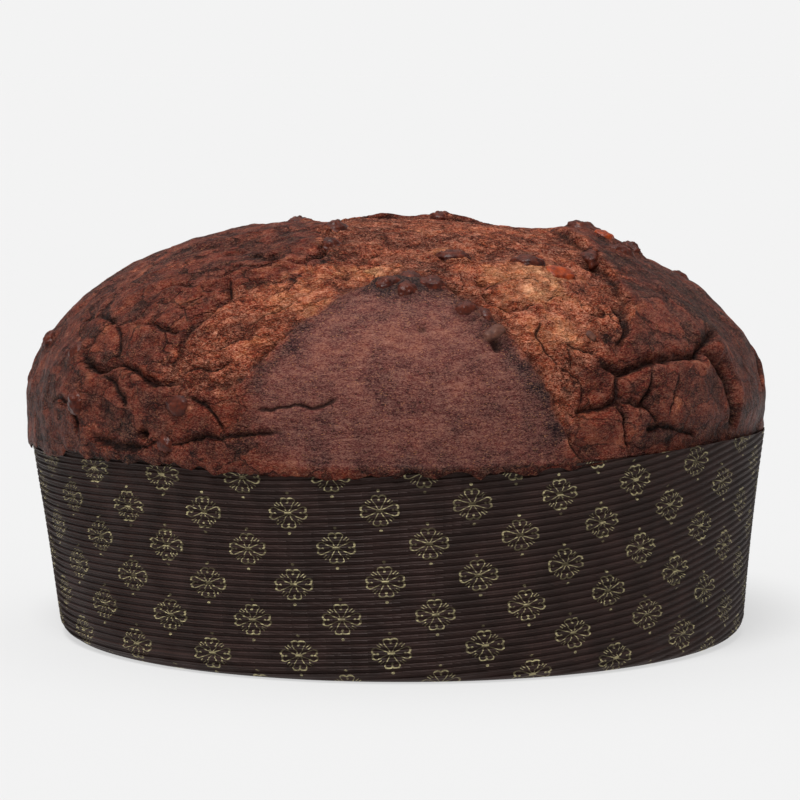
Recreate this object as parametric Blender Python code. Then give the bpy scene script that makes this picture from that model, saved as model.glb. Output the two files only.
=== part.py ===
"""A low round panettone in its fluted paper baking case, modelled at real size.

The loaf is one solid: a straight body that fills the case and a domed crust that swells out
over the rim. The crust's relief is laid out on its skin: a place is given in millimetres
across the skin from the top of the dome, to the right and forward, so a line drawn on the
skin keeps its length where the dome curves down.
"""

import math

import bmesh
import bpy
import numpy as np
from mathutils import Vector, noise

MM = 0.001

# Paper case
CASE_HEIGHT = 60.0 * MM
CASE_BASE_RADIUS = 102.6 * MM
CASE_RIM_RADIUS = 109.9 * MM
CASE_RIM_SHIFT = -1.3 * MM
CASE_CORNER = 5.0 * MM
CASE_WALL = 1.6 * MM
CASE_FLOOR = 0.7 * MM
FLUTE_DEPTH = 0.9 * MM
FLUTE_COUNT = 27
WALL_SIDES = 40
# The rim stands a little higher to the front right and sags to the left:
# azimuth in degrees from the front, spread in degrees, rise.
RIM_WAVES = ((58.0, 26.0, 2.3 * MM), (-38.0, 18.0, 0.9 * MM), (-92.0, 24.0, -1.6 * MM),
             (165.0, 30.0, 1.2 * MM), (-18.0, 14.0, -0.9 * MM))

# Loaf
FIT_GAP = 0.35 * MM
CROWN_RADIUS = 111.2 * MM
CROWN_SHIFT = -1.6 * MM
CROWN_FOOT = 61.6 * MM
CROWN_RISE = 61.6 * MM
CROWN_POWER = 2.3
LIP_CURL = 1.1 * MM
GRID_CELLS = 116
CROWN_TRIANGLES = 5700
LIP_SIDES = 80
LOAF_CORNER = 4.0 * MM

# Where the cross cut has torn open: a place on the skin and the half width of the tear, all
# in millimetres. The two arms at the front run down beside the front flap of crust.
TEARS = {
    "middle": ((-22, 12, 16), (0, 40, 24), (26, 28, 24), (30, -4, 18), (4, -22, 14)),
    "front_left": ((0, 58, 15), (-18, 71, 14), (-34, 82, 15), (-52, 91, 11), (-70, 96, 4)),
    "front_right": ((22, 56, 18), (42, 72, 20), (54, 92, 12), (59, 112, 7), (63, 127, 2)),
    "back_left": ((-8, -14, 14), (-36, -38, 13), (-62, -66, 9), (-80, -92, 3)),
    "back_right": ((24, -10, 15), (48, -36, 14), (66, -70, 10), (72, -104, 3)),
}
TEAR_DEPTH = 1.6 * MM

# Crust flaps: the line of a flap's edge with the flap on its left hand, and how far it stands
# up, and how far back it takes to sink in again.
FLAPS = {
    "front_left_edge": (1.5, 14.0, ((-46, 110), (-38, 105), (-28, 97), (-19, 89), (-9, 82), (0, 78))),
    "front_right_edge": (1.2, 14.0, ((0, 78), (12, 84), (24, 93), (36, 103), (47, 114), (57, 124))),
    "right_edge": (3.2, 22.0, ((66, 94), (68, 82), (66, 68), (62, 54), (56, 40), (50, 24), (46, 6))),
    "left_edge": (2.6, 20.0, ((-14, 22), (-19, 40), (-22, 58), (-31, 74), (-46, 68), (-66, 72))),
    "back_edge": (2.2, 18.0, ((64, -92), (52, -66), (30, -44), (6, -36), (-24, -50), (-52, -78))),
}

# Creases pressed into the crust: depth, half width and the line, in millimetres on the skin.
CREASES = {
    "right_deep": (5.0, 2.6, ((60, 94), (69, 96), (75, 89), (83, 81), (92, 71), (96, 56), (99, 44))),
    "right_lobe": (3.0, 2.2, ((94, 64), (101, 61), (108, 59), (114, 66), (122, 70))),
    "right_mid": (3.6, 2.2, ((57, 115), (63, 112), (69, 106), (70, 100), (69, 95))),
    "right_low": (4.2, 2.6, ((85, 107), (89, 100), (95, 95), (102, 92), (110, 85))),
    "right_slit": (2.6, 1.8, ((70, 106), (77, 110), (84, 115))),
    "right_foot": (2.6, 1.8, ((56, 122), (62, 125), (70, 126))),
    "left_deep": (4.0, 2.2, ((-98, 63), (-95, 73), (-88, 78), (-82, 86), (-74, 96))),
    "left_high": (2.6, 1.9, ((-97, 40), (-88, 50), (-85, 62), (-74, 73), (-65, 83))),
    "left_fold": (3.4, 2.4, ((-47, 75), (-56, 83), (-66, 89), (-72, 98))),
    "left_slit": (2.4, 1.6, ((-92, 80), (-89, 88), (-87, 96))),
    "left_edge": (2.6, 1.9, ((-118, 56), (-111, 66), (-109, 76), (-112, 82))),
    "left_rim": (2.6, 1.8, ((-107, 91), (-98, 101), (-87, 110))),
    "low_long": (4.4, 2.3, ((-96, 95), (-90, 104), (-82, 112), (-72, 117), (-60, 122), (-44, 127), (-33, 128))),
    "low_branch": (2.8, 1.8, ((-66, 106), (-59, 111), (-56, 121))),
    "low_mid": (3.0, 1.9, ((-45, 119), (-36, 120), (-27, 124), (-16, 122), (-8, 118))),
    "back_long": (4.2, 2.4, ((-96, -62), (-84, -84), (-70, -100), (-50, -112), (-30, -116))),
    "back_cross": (3.4, 2.1, ((20, -104), (40, -112), (62, -110), (84, -100), (98, -84))),
    "back_right": (3.6, 2.2, ((84, -30), (96, -44), (102, -62), (112, -70))),
    "back_left": (3.0, 2.0, ((-88, -20), (-100, -34), (-110, -36), (-124, -30))),
    "back_low": (2.8, 1.9, ((-20, -130), (-2, -124), (14, -128), (30, -124))),
}

# Broad swells and dips of the crust: right, forward, spread and height in millimetres.
SWELLS = ((92, 86, 16, 2.2), (78, 62, 18, 1.6), (88, 108, 10, 1.2), (-84, 96, 14, 1.4),
          (-64, 116, 12, 0.9), (-100, 62, 14, 1.2), (0, 112, 34, 1.0), (-50, 40, 22, 0.8),
          (42, 76, 16, 1.6), (-34, 84, 14, 1.0), (62, 106, 10, -1.4), (52, 128, 12, -0.8),
          (-112, 20, 12, -1.0), (20, -90, 26, 1.6), (-74, -60, 20, 1.4), (86, -62, 20, 1.4),
          (-100, -74, 14, -1.2), (54, 6, 14, 1.0), (112, 20, 16, 0.8))

# Holes where gas broke through: right, forward, radius and depth in millimetres.
PITS = ((-47, 44, 3.2, 2.4), (-36, 57, 3.0, 2.6), (7, 105, 3.6, 2.0), (29, 105, 2.8, 2.8),
        (16, 84, 3.2, 2.6), (-84, 105, 3.4, 3.0), (57, 49, 3.4, 3.0), (-15, 74, 3.0, 2.2),
        (-60, 72, 2.6, 2.2), (96, 99, 4.0, 3.0), (-40, -56, 3.4, 2.6), (38, -70, 3.2, 2.6),
        (-6, -84, 3.0, 2.0), (70, -20, 3.2, 2.6))

# Fruit that stands out of the crust: right, forward, length, width, turn in degrees, and how
# much of its height stays below the skin.
FRUIT = ((-2, 84, 8, 6, 20, 0.55), (4, 79, 9, 6, 100, 0.55), (10, 84, 9, 7, 160, 0.55),
         (3, 87, 7, 6, 60, 0.6), (16, 61, 11, 7, 10, 0.55), (20, 94, 7, 6, 40, 0.6),
         (26, 95, 8, 6, 120, 0.6), (38, 61, 10, 7, 170, 0.55), (47, 62, 10, 8, 30, 0.55),
         (56, 0, 13, 9, 0, 0.5), (61, 12, 8, 7, 90, 0.55), (66, 27, 9, 7, 30, 0.55),
         (70, 10, 8, 7, 120, 0.55), (57, 42, 9, 8, 80, 0.5), (64, 86, 8, 6, 150, 0.6),
         (-18, 34, 10, 8, 60, 0.55), (-20, 51, 9, 7, 140, 0.6), (-113, 17, 9, 7, 80, 0.55),
         (-100, 57, 7, 6, 20, 0.6), (-69, 107, 8, 7, 120, 0.6), (-106, 74, 8, 7, 50, 0.6),
         (-79, 113, 8, 6, 10, 0.6), (28, 100, 8, 6, 60, 0.6), (-30, -20, 9, 7, 30, 0.55),
         (14, -40, 10, 8, 70, 0.55), (-60, -52, 9, 7, 150, 0.55), (60, -52, 9, 7, 10, 0.55),
         (90, -20, 9, 7, 40, 0.6), (-6, -96, 8, 7, 90, 0.6), (-96, -50, 8, 6, 20, 0.6),
         (44, -98, 8, 7, 130, 0.6), (-44, -104, 9, 7, 0, 0.6))

CRUST_BROWN = (0.118, 0.042, 0.026)
CASE_BROWN = (0.032, 0.022, 0.019)


def remove_startup_objects():
    """Empty the scene of whatever it opened with."""
    for item in list(bpy.data.objects):
        bpy.data.objects.remove(item, do_unlink=True)


def make_material(name, colour, roughness):
    """Return a Principled material with one colour."""
    material = bpy.data.materials.new(name)
    material.use_nodes = True
    shader = material.node_tree.nodes["Principled BSDF"]
    shader.inputs["Base Color"].default_value = (*colour, 1.0)
    shader.inputs["Roughness"].default_value = roughness
    shader.inputs["Metallic"].default_value = 0.0
    material.diffuse_color = (*colour, 1.0)
    return material


def add_object(name, bm, material):
    """Turn a bmesh into a named, smooth shaded object and link it."""
    bmesh.ops.recalc_face_normals(bm, faces=bm.faces)
    mesh = bpy.data.meshes.new(name)
    bm.to_mesh(mesh)
    bm.free()
    mesh.materials.append(material)
    mesh.shade_smooth()
    mesh.set_sharp_from_angle(angle=math.radians(50.0))
    item = bpy.data.objects.new(name, mesh)
    bpy.context.collection.objects.link(item)
    return item


def rim_height(azimuth):
    """Height of the case's rim at an azimuth in radians from the front, to the right."""
    height = np.full(np.shape(azimuth), CASE_HEIGHT)
    for centre, spread, rise in RIM_WAVES:
        away = np.degrees(np.angle(np.exp(1j * (azimuth - math.radians(centre)))))
        height = height + rise * np.exp(-(away / spread) ** 2)
    return height


def case_point(azimuth, share, inset):
    """A point on the case's wall, at a share of its height, inset from its outer face."""
    radius = CASE_BASE_RADIUS + (CASE_RIM_RADIUS - CASE_BASE_RADIUS) * share - inset
    return Vector((CASE_RIM_SHIFT * share + radius * math.sin(azimuth),
                   -radius * math.cos(azimuth),
                   share * float(rim_height(azimuth))))


def add_ring(bm, points):
    """Add one ring of vertices."""
    return [bm.verts.new(point) for point in points]


def bridge(bm, lower, upper):
    """Join two rings that have the same number of points."""
    count = len(lower)
    for i in range(count):
        j = (i + 1) % count
        bm.faces.new((lower[i], lower[j], upper[j], upper[i]))


def close_fan(bm, ring, centre):
    """Close a ring with a fan of triangles round one centre point."""
    middle = bm.verts.new(centre)
    for i, vertex in enumerate(ring):
        bm.faces.new((vertex, ring[(i + 1) % len(ring)], middle))


def azimuths(count):
    """Evenly spaced azimuths round the axis, in radians."""
    return [2.0 * math.pi * i / count for i in range(count)]


def build_case(material):
    """Build the paper case: flat floor, rounded foot and a wall of horizontal flutes."""
    bm = bmesh.new()
    angles = azimuths(WALL_SIDES)
    foot_share = CASE_CORNER / CASE_HEIGHT

    def wall_ring(share, inset):
        return add_ring(bm, [case_point(a, share, inset) for a in angles])

    def flat_ring(height, radius):
        return add_ring(bm, [Vector((radius * math.sin(a), -radius * math.cos(a), height))
                             for a in angles])

    outside = [flat_ring(0.0, CASE_BASE_RADIUS - CASE_CORNER),
               flat_ring(0.3 * CASE_CORNER, CASE_BASE_RADIUS - 0.3 * CASE_CORNER)]
    rows = 2 * FLUTE_COUNT
    for row in range(rows + 1):
        share = foot_share + (1.0 - foot_share) * row / rows
        outside.append(wall_ring(share, FLUTE_DEPTH * (row % 2)))
    for lower, upper in zip(outside, outside[1:]):
        bridge(bm, lower, upper)
    close_fan(bm, outside[0], Vector((0.0, 0.0, 0.0)))

    inside = [wall_ring(1.0, CASE_WALL),
              wall_ring(foot_share, CASE_WALL),
              flat_ring(CASE_FLOOR, CASE_BASE_RADIUS - CASE_CORNER - CASE_WALL)]
    bridge(bm, outside[-1], inside[0])
    for upper, lower in zip(inside, inside[1:]):
        bridge(bm, upper, lower)
    close_fan(bm, inside[-1], Vector((0.0, 0.0, CASE_FLOOR)))
    return add_object("paper_case", bm, material)


def meridian():
    """Sample the crown's profile from the top down: distance over the skin, radius, height."""
    turn = np.linspace(math.pi / 2.0, 0.0, 2001)
    radius = CROWN_RADIUS * np.abs(np.cos(turn)) ** (2.0 / CROWN_POWER)
    height = CROWN_FOOT + CROWN_RISE * np.sin(turn) ** (2.0 / CROWN_POWER)
    radius[0] = 0.0
    run = np.concatenate(([0.0], np.cumsum(np.hypot(np.diff(radius), np.diff(height)))))
    return run, radius, height


PROFILE_RUN, PROFILE_RADIUS, PROFILE_HEIGHT = meridian()
SKIN_REACH = float(PROFILE_RUN[-1])


def skin_base(right, forward):
    """Points of the smooth crown at places on the skin."""
    away = np.hypot(right, forward)
    azimuth = np.arctan2(right, forward)
    radius = np.interp(away, PROFILE_RUN, PROFILE_RADIUS)
    height = np.interp(away, PROFILE_RUN, PROFILE_HEIGHT)
    return np.stack((CROWN_SHIFT + radius * np.sin(azimuth), -radius * np.cos(azimuth), height),
                    axis=-1)


def skin_normal(right, forward):
    """Outward normals of the smooth crown."""
    step = 0.5 * MM
    across = skin_base(right + step, forward) - skin_base(right - step, forward)
    along = skin_base(right, forward + step) - skin_base(right, forward - step)
    normal = np.cross(along, across)
    return normal / np.maximum(np.linalg.norm(normal, axis=-1, keepdims=True), 1e-12)


def smooth_line(points, pieces=4):
    """Curve a line of hand placed points with Catmull-Rom pieces; millimetres to metres."""
    knots = np.array(points, dtype=float) * MM
    knots = np.vstack((2 * knots[0] - knots[1], knots, 2 * knots[-1] - knots[-2]))
    curve = []
    for a, b, c, d in zip(knots, knots[1:], knots[2:], knots[3:]):
        for t in np.arange(pieces) / pieces:
            curve.append(0.5 * (2 * b + (c - a) * t + (2 * a - 5 * b + 4 * c - d) * t ** 2
                                + (3 * b - a - 3 * c + d) * t ** 3))
    curve.append(knots[-2])
    return np.array(curve)


def reach_line(line, right, forward):
    """Distance from places to a line, the share of the way along it, and the left-hand side."""
    best = np.full(right.shape, np.inf)
    along = np.zeros(right.shape)
    side = np.zeros(right.shape)
    spans = np.linalg.norm(np.diff(line, axis=0), axis=1)
    before = np.concatenate(([0.0], np.cumsum(spans)))
    for start, stop, span, travelled in zip(line, line[1:], spans, before):
        way = (stop - start) / span
        x = right - start[0]
        y = forward - start[1]
        t = np.clip(x * way[0] + y * way[1], 0.0, span)
        gap = np.hypot(x - t * way[0], y - t * way[1])
        nearer = gap < best
        best = np.where(nearer, gap, best)
        along = np.where(nearer, (travelled + t) / before[-1], along)
        side = np.where(nearer, np.sign(way[0] * y - way[1] * x), side)
    return best, along, side


def ease(value):
    """Smooth step from 0 to 1."""
    value = np.clip(value, 0.0, 1.0)
    return value * value * (3.0 - 2.0 * value)


def end_taper(along, share=0.14):
    """Fade a line's effect out towards both its ends."""
    return ease(np.minimum(along, 1.0 - along) / share)


def tear_mask(right, forward):
    """How far a place is inside the torn crumb, from 0 to 1."""
    inside = np.full(right.shape, -np.inf)
    for stations in TEARS.values():
        for (x0, y0, w0), (x1, y1, w1) in zip(stations, stations[1:]):
            start = np.array((x0, y0)) * MM
            way = np.array((x1 - x0, y1 - y0)) * MM
            t = ((right - start[0]) * way[0] + (forward - start[1]) * way[1]) / way.dot(way)
            t = np.clip(t, 0.0, 1.0)
            gap = np.hypot(right - start[0] - t * way[0], forward - start[1] - t * way[1])
            inside = np.maximum(inside, (w0 + (w1 - w0) * t) * MM - gap)
    return ease(0.5 + inside / (5.0 * MM))


def rough(right, forward, size, octaves, shift):
    """Fractal unevenness of about 1 in height, with bumps of the given size."""
    field = np.empty(right.shape)
    for i, (x, y) in enumerate(zip(right, forward)):
        field[i] = noise.fractal(Vector((x / size, y / size, shift)), 0.9, 2.0, octaves)
    return field


def crust_relief(right, forward):
    """Height of the crust's relief above the smooth crown."""
    bend_x = right + 1.4 * MM * rough(right, forward, 9.0 * MM, 2, 3.1)
    bend_y = forward + 1.4 * MM * rough(right, forward, 9.0 * MM, 2, 8.7)
    torn = tear_mask(bend_x, bend_y)
    relief = 0.9 * MM * rough(right, forward, 34.0 * MM, 2, 0.4)
    relief += torn * (1.5 * MM * rough(right, forward, 12.0 * MM, 3, 5.5) - TEAR_DEPTH)
    for x, y, spread, height in SWELLS:
        relief += height * MM * np.exp(-((right - x * MM) ** 2 + (forward - y * MM) ** 2)
                                       / (spread * MM) ** 2)
    for rise, sink, points in FLAPS.values():
        gap, along, side = reach_line(smooth_line(points), bend_x, bend_y)
        step = rise * MM * np.exp(-(gap / (sink * MM)) ** 1.4) * end_taper(along)
        relief += step * ease(0.5 + side * gap / (2.4 * MM))
    for depth, half, points in CREASES.values():
        gap, along, _ = reach_line(smooth_line(points), bend_x, bend_y)
        valley = np.exp(-(gap / (half * MM)) ** 1.6)
        shoulder = np.exp(-((gap - 2.6 * half * MM) / (1.6 * half * MM)) ** 2)
        relief += (0.18 * shoulder - valley) * depth * MM * end_taper(along)
    for x, y, radius, depth in PITS:
        gap = np.hypot(bend_x - x * MM, bend_y - y * MM) / (radius * MM)
        relief -= depth * MM * np.exp(-gap ** 3)
    edge = ease((SKIN_REACH - np.hypot(right, forward)) / (9.0 * MM))
    return relief * edge


def disc_grid(cells):
    """Places of a square grid drawn round into a disc, in rows, each from -1 to 1."""
    step = np.linspace(-1.0, 1.0, cells + 1)
    u, v = np.meshgrid(step, step)
    wide = np.abs(u) > np.abs(v)
    ring = np.where(wide, u, v)
    other = np.where(wide, v, u)
    turn = (math.pi / 4.0) * np.divide(other, ring, out=np.zeros_like(ring), where=ring != 0)
    near = ring * np.cos(turn)
    far = ring * np.sin(turn)
    return np.where(wide, near, far), np.where(wide, far, near)


def build_crown():
    """Mesh the domed crust finely with its relief, then thin it where it is smooth."""
    x, y = disc_grid(GRID_CELLS)
    right = (x * SKIN_REACH).ravel()
    forward = (y * SKIN_REACH).ravel()
    points = skin_base(right, forward)
    points += skin_normal(right, forward) * crust_relief(right, forward)[:, None]

    bm = bmesh.new()
    verts = [bm.verts.new(point) for point in points]
    row = GRID_CELLS + 1
    for j in range(GRID_CELLS):
        for i in range(GRID_CELLS):
            a = j * row + i
            bm.faces.new((verts[a], verts[a + 1], verts[a + row + 1], verts[a + row]))
    bmesh.ops.triangulate(bm, faces=bm.faces)
    count = len(bm.faces)
    mesh = bpy.data.meshes.new("crown")
    bm.to_mesh(mesh)
    bm.free()
    crown = bpy.data.objects.new("crown", mesh)
    bpy.context.collection.objects.link(crown)
    thin = crown.modifiers.new("thin", "DECIMATE")
    thin.ratio = CROWN_TRIANGLES / count
    thinned = crown.evaluated_get(bpy.context.evaluated_depsgraph_get())
    bm = bmesh.new()
    bm.from_mesh(thinned.to_mesh())
    thinned.to_mesh_clear()
    bpy.data.objects.remove(crown, do_unlink=True)
    bpy.data.meshes.remove(mesh)
    return bm


def ring_azimuth(point, shift):
    """Azimuth of a point round the axis, from the front and to the right."""
    return math.atan2(point.x - shift, -point.y) % (2.0 * math.pi)


def open_edge_loop(bm, shift):
    """The crown's open edge as a list of vertices in order of azimuth."""
    loop = {vertex for edge in bm.edges if edge.is_boundary for vertex in edge.verts}
    return sorted(loop, key=lambda vertex: ring_azimuth(vertex.co, shift))


def zip_rings(bm, first, second, shift):
    """Join two rings with different numbers of points, both in order of azimuth."""
    turns_a = [ring_azimuth(v.co, shift) for v in first] + [2.0 * math.pi]
    turns_b = [ring_azimuth(v.co, shift) for v in second] + [2.0 * math.pi]
    i = 0
    j = 0
    while i < len(first) or j < len(second):
        a = first[i % len(first)]
        b = second[j % len(second)]
        next_a = turns_a[i + 1] if i < len(first) else math.inf
        next_b = turns_b[j + 1] if j < len(second) else math.inf
        if next_a <= next_b:
            bm.faces.new((a, first[(i + 1) % len(first)], b))
            i += 1
        else:
            bm.faces.new((a, second[(j + 1) % len(second)], b))
            j += 1


def build_loaf_body(bm):
    """Close the crown below: its lip over the rim, and the body that fills the case."""
    facet = CASE_BASE_RADIUS * (1.0 - math.cos(math.pi / WALL_SIDES))
    clear = CASE_WALL + facet + FIT_GAP
    foot_share = CASE_CORNER / CASE_HEIGHT
    lip_radius = CROWN_RADIUS - LIP_CURL
    floor_radius = CASE_BASE_RADIUS - CASE_CORNER - clear - LOAF_CORNER
    floor_height = CASE_FLOOR + FIT_GAP

    lip = [Vector((CROWN_SHIFT + lip_radius * math.sin(a), -lip_radius * math.cos(a),
                   float(rim_height(a)) + FIT_GAP + 0.4 * LIP_CURL))
           for a in azimuths(LIP_SIDES)]
    under = []
    body_top = []
    for a in azimuths(WALL_SIDES):
        rest = float(rim_height(a)) + FIT_GAP
        shoulder = case_point(a, 1.0, CASE_WALL + facet)
        under.append(Vector((shoulder.x, shoulder.y, rest)))
        inner = case_point(a, 1.0, clear)
        body_top.append(Vector((inner.x, inner.y, rest - 0.8 * MM)))
    body_foot = [case_point(a, foot_share, clear) for a in azimuths(WALL_SIDES)]
    body_floor = [Vector((floor_radius * math.sin(a), -floor_radius * math.cos(a), floor_height))
                  for a in azimuths(WALL_SIDES)]

    edge = open_edge_loop(bm, CROWN_SHIFT)
    lip_ring = add_ring(bm, lip)
    rings = [add_ring(bm, points) for points in (under, body_top, body_foot, body_floor)]
    zip_rings(bm, edge, lip_ring, CROWN_SHIFT)
    zip_rings(bm, lip_ring, rings[0], CROWN_SHIFT)
    for upper, lower in zip(rings, rings[1:]):
        bridge(bm, upper, lower)
    close_fan(bm, rings[-1], Vector((0.0, 0.0, floor_height)))


def build_fruit(index, right, forward, length, width, turn, sunk):
    """One raisin or piece of candied peel: a lumpy low sphere set into the skin."""
    x = np.array([right * MM])
    y = np.array([forward * MM])
    foot = skin_base(x, y)[0] + skin_normal(x, y)[0] * crust_relief(x, y)[0]
    up = Vector(skin_normal(x, y)[0])
    side = Vector((math.cos(math.radians(turn)), math.sin(math.radians(turn)), 0.0))
    side = (side - up * side.dot(up)).normalized()
    across = up.cross(side)
    height = 0.8 * width * MM
    centre = Vector(foot) + up * height * (0.5 - sunk)

    bm = bmesh.new()
    bmesh.ops.create_icosphere(bm, subdivisions=2, radius=0.5)
    for vertex in bm.verts:
        lump = 1.0 + 0.16 * noise.noise(vertex.co * 3.0 + Vector((index, 0.0, 0.0)))
        local = vertex.co * lump
        vertex.co = (centre + side * local.x * length * MM + across * local.y * width * MM
                     + up * local.z * height)
    thin_to = 0.6
    mesh = bpy.data.meshes.new(f"fruit_{index:02d}")
    bm.to_mesh(mesh)
    bm.free()
    item = bpy.data.objects.new(f"fruit_{index:02d}", mesh)
    item.modifiers.new("thin", "DECIMATE").ratio = thin_to
    return item


def fuse_fruit(loaf):
    """Join every piece of fruit to the loaf with one Boolean union, and apply it."""
    group = bpy.data.collections.new("fruit")
    bpy.context.scene.collection.children.link(group)
    for index, sizes in enumerate(FRUIT):
        group.objects.link(build_fruit(index, *sizes))
    union = loaf.modifiers.new("fruit", "BOOLEAN")
    union.operation = "UNION"
    union.operand_type = "COLLECTION"
    union.solver = "EXACT"
    union.collection = group
    fused = loaf.evaluated_get(bpy.context.evaluated_depsgraph_get())
    mesh = bpy.data.meshes.new_from_object(fused)
    loaf.modifiers.remove(union)
    loaf.data = mesh
    for piece in list(group.objects):
        bpy.data.objects.remove(piece, do_unlink=True)
    bpy.data.collections.remove(group)


def build_loaf(material):
    """Build the loaf as one solid, with its relief and the fruit that shows."""
    bm = build_crown()
    build_loaf_body(bm)
    bmesh.ops.triangulate(bm, faces=bm.faces)
    loaf = add_object("bread", bm, material)
    fuse_fruit(loaf)
    return loaf


def main():
    """Build the case and the loaf that stands in it."""
    remove_startup_objects()
    build_case(make_material("baking_paper", CASE_BROWN, 0.5))
    build_loaf(make_material("baked_crust", CRUST_BROWN, 0.75))


main()
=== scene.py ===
"""Dress a low round panettone in its fluted paper baking case.

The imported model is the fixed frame. The loaf and the case are rebuilt over its two nodes with
their fine surface: the torn cross cut, the flaps and creases of the crust, the fruit set into
it, and the flutes and the pale gold print of the paper.
"""

from __future__ import annotations

import logging
import math
from dataclasses import dataclass, field
from enum import Enum
from functools import partial

import bmesh
import bpy
import numpy as np
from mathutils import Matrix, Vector, noise

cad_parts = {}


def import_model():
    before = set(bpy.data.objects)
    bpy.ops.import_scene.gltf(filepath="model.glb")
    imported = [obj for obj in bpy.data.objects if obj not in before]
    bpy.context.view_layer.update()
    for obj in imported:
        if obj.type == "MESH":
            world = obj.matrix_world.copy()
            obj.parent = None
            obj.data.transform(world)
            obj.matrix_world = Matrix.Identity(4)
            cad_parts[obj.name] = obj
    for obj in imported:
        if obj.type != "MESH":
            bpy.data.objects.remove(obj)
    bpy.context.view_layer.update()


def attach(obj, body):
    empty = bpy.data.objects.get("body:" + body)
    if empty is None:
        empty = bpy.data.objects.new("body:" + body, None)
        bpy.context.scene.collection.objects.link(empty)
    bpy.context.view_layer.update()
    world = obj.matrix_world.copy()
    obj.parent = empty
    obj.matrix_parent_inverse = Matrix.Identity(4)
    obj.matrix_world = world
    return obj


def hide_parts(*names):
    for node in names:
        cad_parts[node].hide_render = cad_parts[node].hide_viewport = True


LOG = logging.getLogger("panettone")
MM = 0.001
MATH = "ShaderNodeMath"
VECTOR = "ShaderNodeVectorMath"
MIX = "ShaderNodeMix"
NOISE = "ShaderNodeTexNoise"
VORONOI = "ShaderNodeTexVoronoi"
RANGE = "ShaderNodeMapRange"
RAMP = "ShaderNodeValToRGB"
BUMP = "ShaderNodeBump"
BSDF = "ShaderNodeBsdfPrincipled"

# What a material shows so far: a node or a socket for each name.
Look = dict[str, "bpy.types.Node | bpy.types.NodeSocket"]


def linear(colour: str) -> tuple[float, float, float, float]:
    """Turn an sRGB hex colour into linear red, green, blue and alpha.

    Args:
        colour: Six hex digits, with or without a leading hash.

    Returns:
        Linear values from 0 to 1, with alpha 1.
    """
    digits = colour.lstrip("#")
    values = [int(digits[i:i + 2], 16) / 255.0 for i in (0, 2, 4)]
    red, green, blue = (v / 12.92 if v <= 0.04045 else ((v + 0.055) / 1.055) ** 2.4
                        for v in values)
    return red, green, blue, 1.0


def per_mm(size: float) -> float:
    """Texture scale that gives a pattern with features of a size in millimetres."""
    return 1.0 / (size * MM)


def add_node(tree: bpy.types.NodeTree, kind: str, inputs: dict | None = None,
             **settings: object) -> bpy.types.Node:
    """Add one node, with its settings, and fill or link its inputs.

    Args:
        tree: The tree that gets the node.
        kind: The node's type name.
        inputs: Input name or index to a plain value, an output socket to link from, or a node
            whose first live output is linked.
        settings: Attributes of the node, such as operation.

    Returns:
        The new node.
    """
    node = tree.nodes.new(kind)
    for name, value in settings.items():
        setattr(node, name, value)
    for key, value in (inputs or {}).items():
        if isinstance(value, bpy.types.Node):
            value = next(socket for socket in value.outputs if socket.enabled)
        if isinstance(value, bpy.types.NodeSocket):
            tree.links.new(value, node.inputs[key])
        else:
            node.inputs[key].default_value = value
    return node


def new_material(name: str) -> tuple[bpy.types.Material, bpy.types.NodeTree]:
    """Make a material with an empty node tree.

    Args:
        name: The finish's name.

    Returns:
        The material and its tree.
    """
    material = bpy.data.materials.new(name)
    material.use_nodes = True
    material.node_tree.nodes.clear()
    return material, material.node_tree


def set_ramp(node: bpy.types.Node, stops: tuple[tuple[float, str], ...]) -> bpy.types.Node:
    """Set a colour ramp's stops from places and hex colours, and hand the ramp back.

    Args:
        node: The colour ramp.
        stops: Place and hex colour of each.

    Returns:
        The same node.
    """
    ramp = node.color_ramp
    while len(ramp.elements) > 1:
        ramp.elements.remove(ramp.elements[-1])
    ramp.elements[0].position = stops[0][0]
    ramp.elements[0].color = linear(stops[0][1])
    for place, colour in stops[1:]:
        ramp.elements.new(place).color = linear(colour)
    return node


def weigh(add: partial, total: object, *parts: tuple[object, object]) -> bpy.types.Node:
    """Add patterns to a total one after another, each times its weight.

    Args:
        add: Adds a node to the tree.
        total: A number, node or socket to start from.
        parts: A pattern and its weight each, which are numbers, nodes or sockets too.

    Returns:
        The last node, with the sum.
    """
    for pattern, weight in parts:
        total = add(MATH, {0: pattern, 1: weight, 2: total}, operation="MULTIPLY_ADD")
    return total


def degrees_from(azimuth: np.ndarray, bearing: float) -> np.ndarray:
    """Degrees from a bearing to azimuths in radians, from -180 to 180."""
    return np.degrees(np.angle(np.exp(1j * (azimuth - math.radians(bearing)))))


def spreads_from(skin: np.ndarray, right: float, forward: float, spread: float) -> np.ndarray:
    """Distance of places from a spot given in millimetres, counted in its spreads."""
    return np.hypot(skin[:, 0] - right * MM, skin[:, 1] - forward * MM) / (spread * MM)


def ring_band(upper: list[int], lower: list[int]) -> list[tuple[int, int, int, int]]:
    """Quads between two rings that have as many points.

    Args:
        upper: Vertex indices of the upper ring.
        lower: Those of the lower ring, in the same order.

    Returns:
        The faces between them.
    """
    size = len(upper)
    return [(upper[i], upper[(i + 1) % size], lower[(i + 1) % size], lower[i])
            for i in range(size)]


def turn_outwards(item: bpy.types.Object) -> None:
    """Turn the faces of a closed mesh outwards.

    Args:
        item: The object, which is changed in place.
    """
    bm = bmesh.new()
    bm.from_mesh(item.data)
    bmesh.ops.recalc_face_normals(bm, faces=bm.faces)
    bm.to_mesh(item.data)
    bm.free()


def ease(value: np.ndarray) -> np.ndarray:
    """Smooth step from 0 to 1."""
    value = np.clip(value, 0.0, 1.0)
    return value * value * (3.0 - 2.0 * value)


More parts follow.
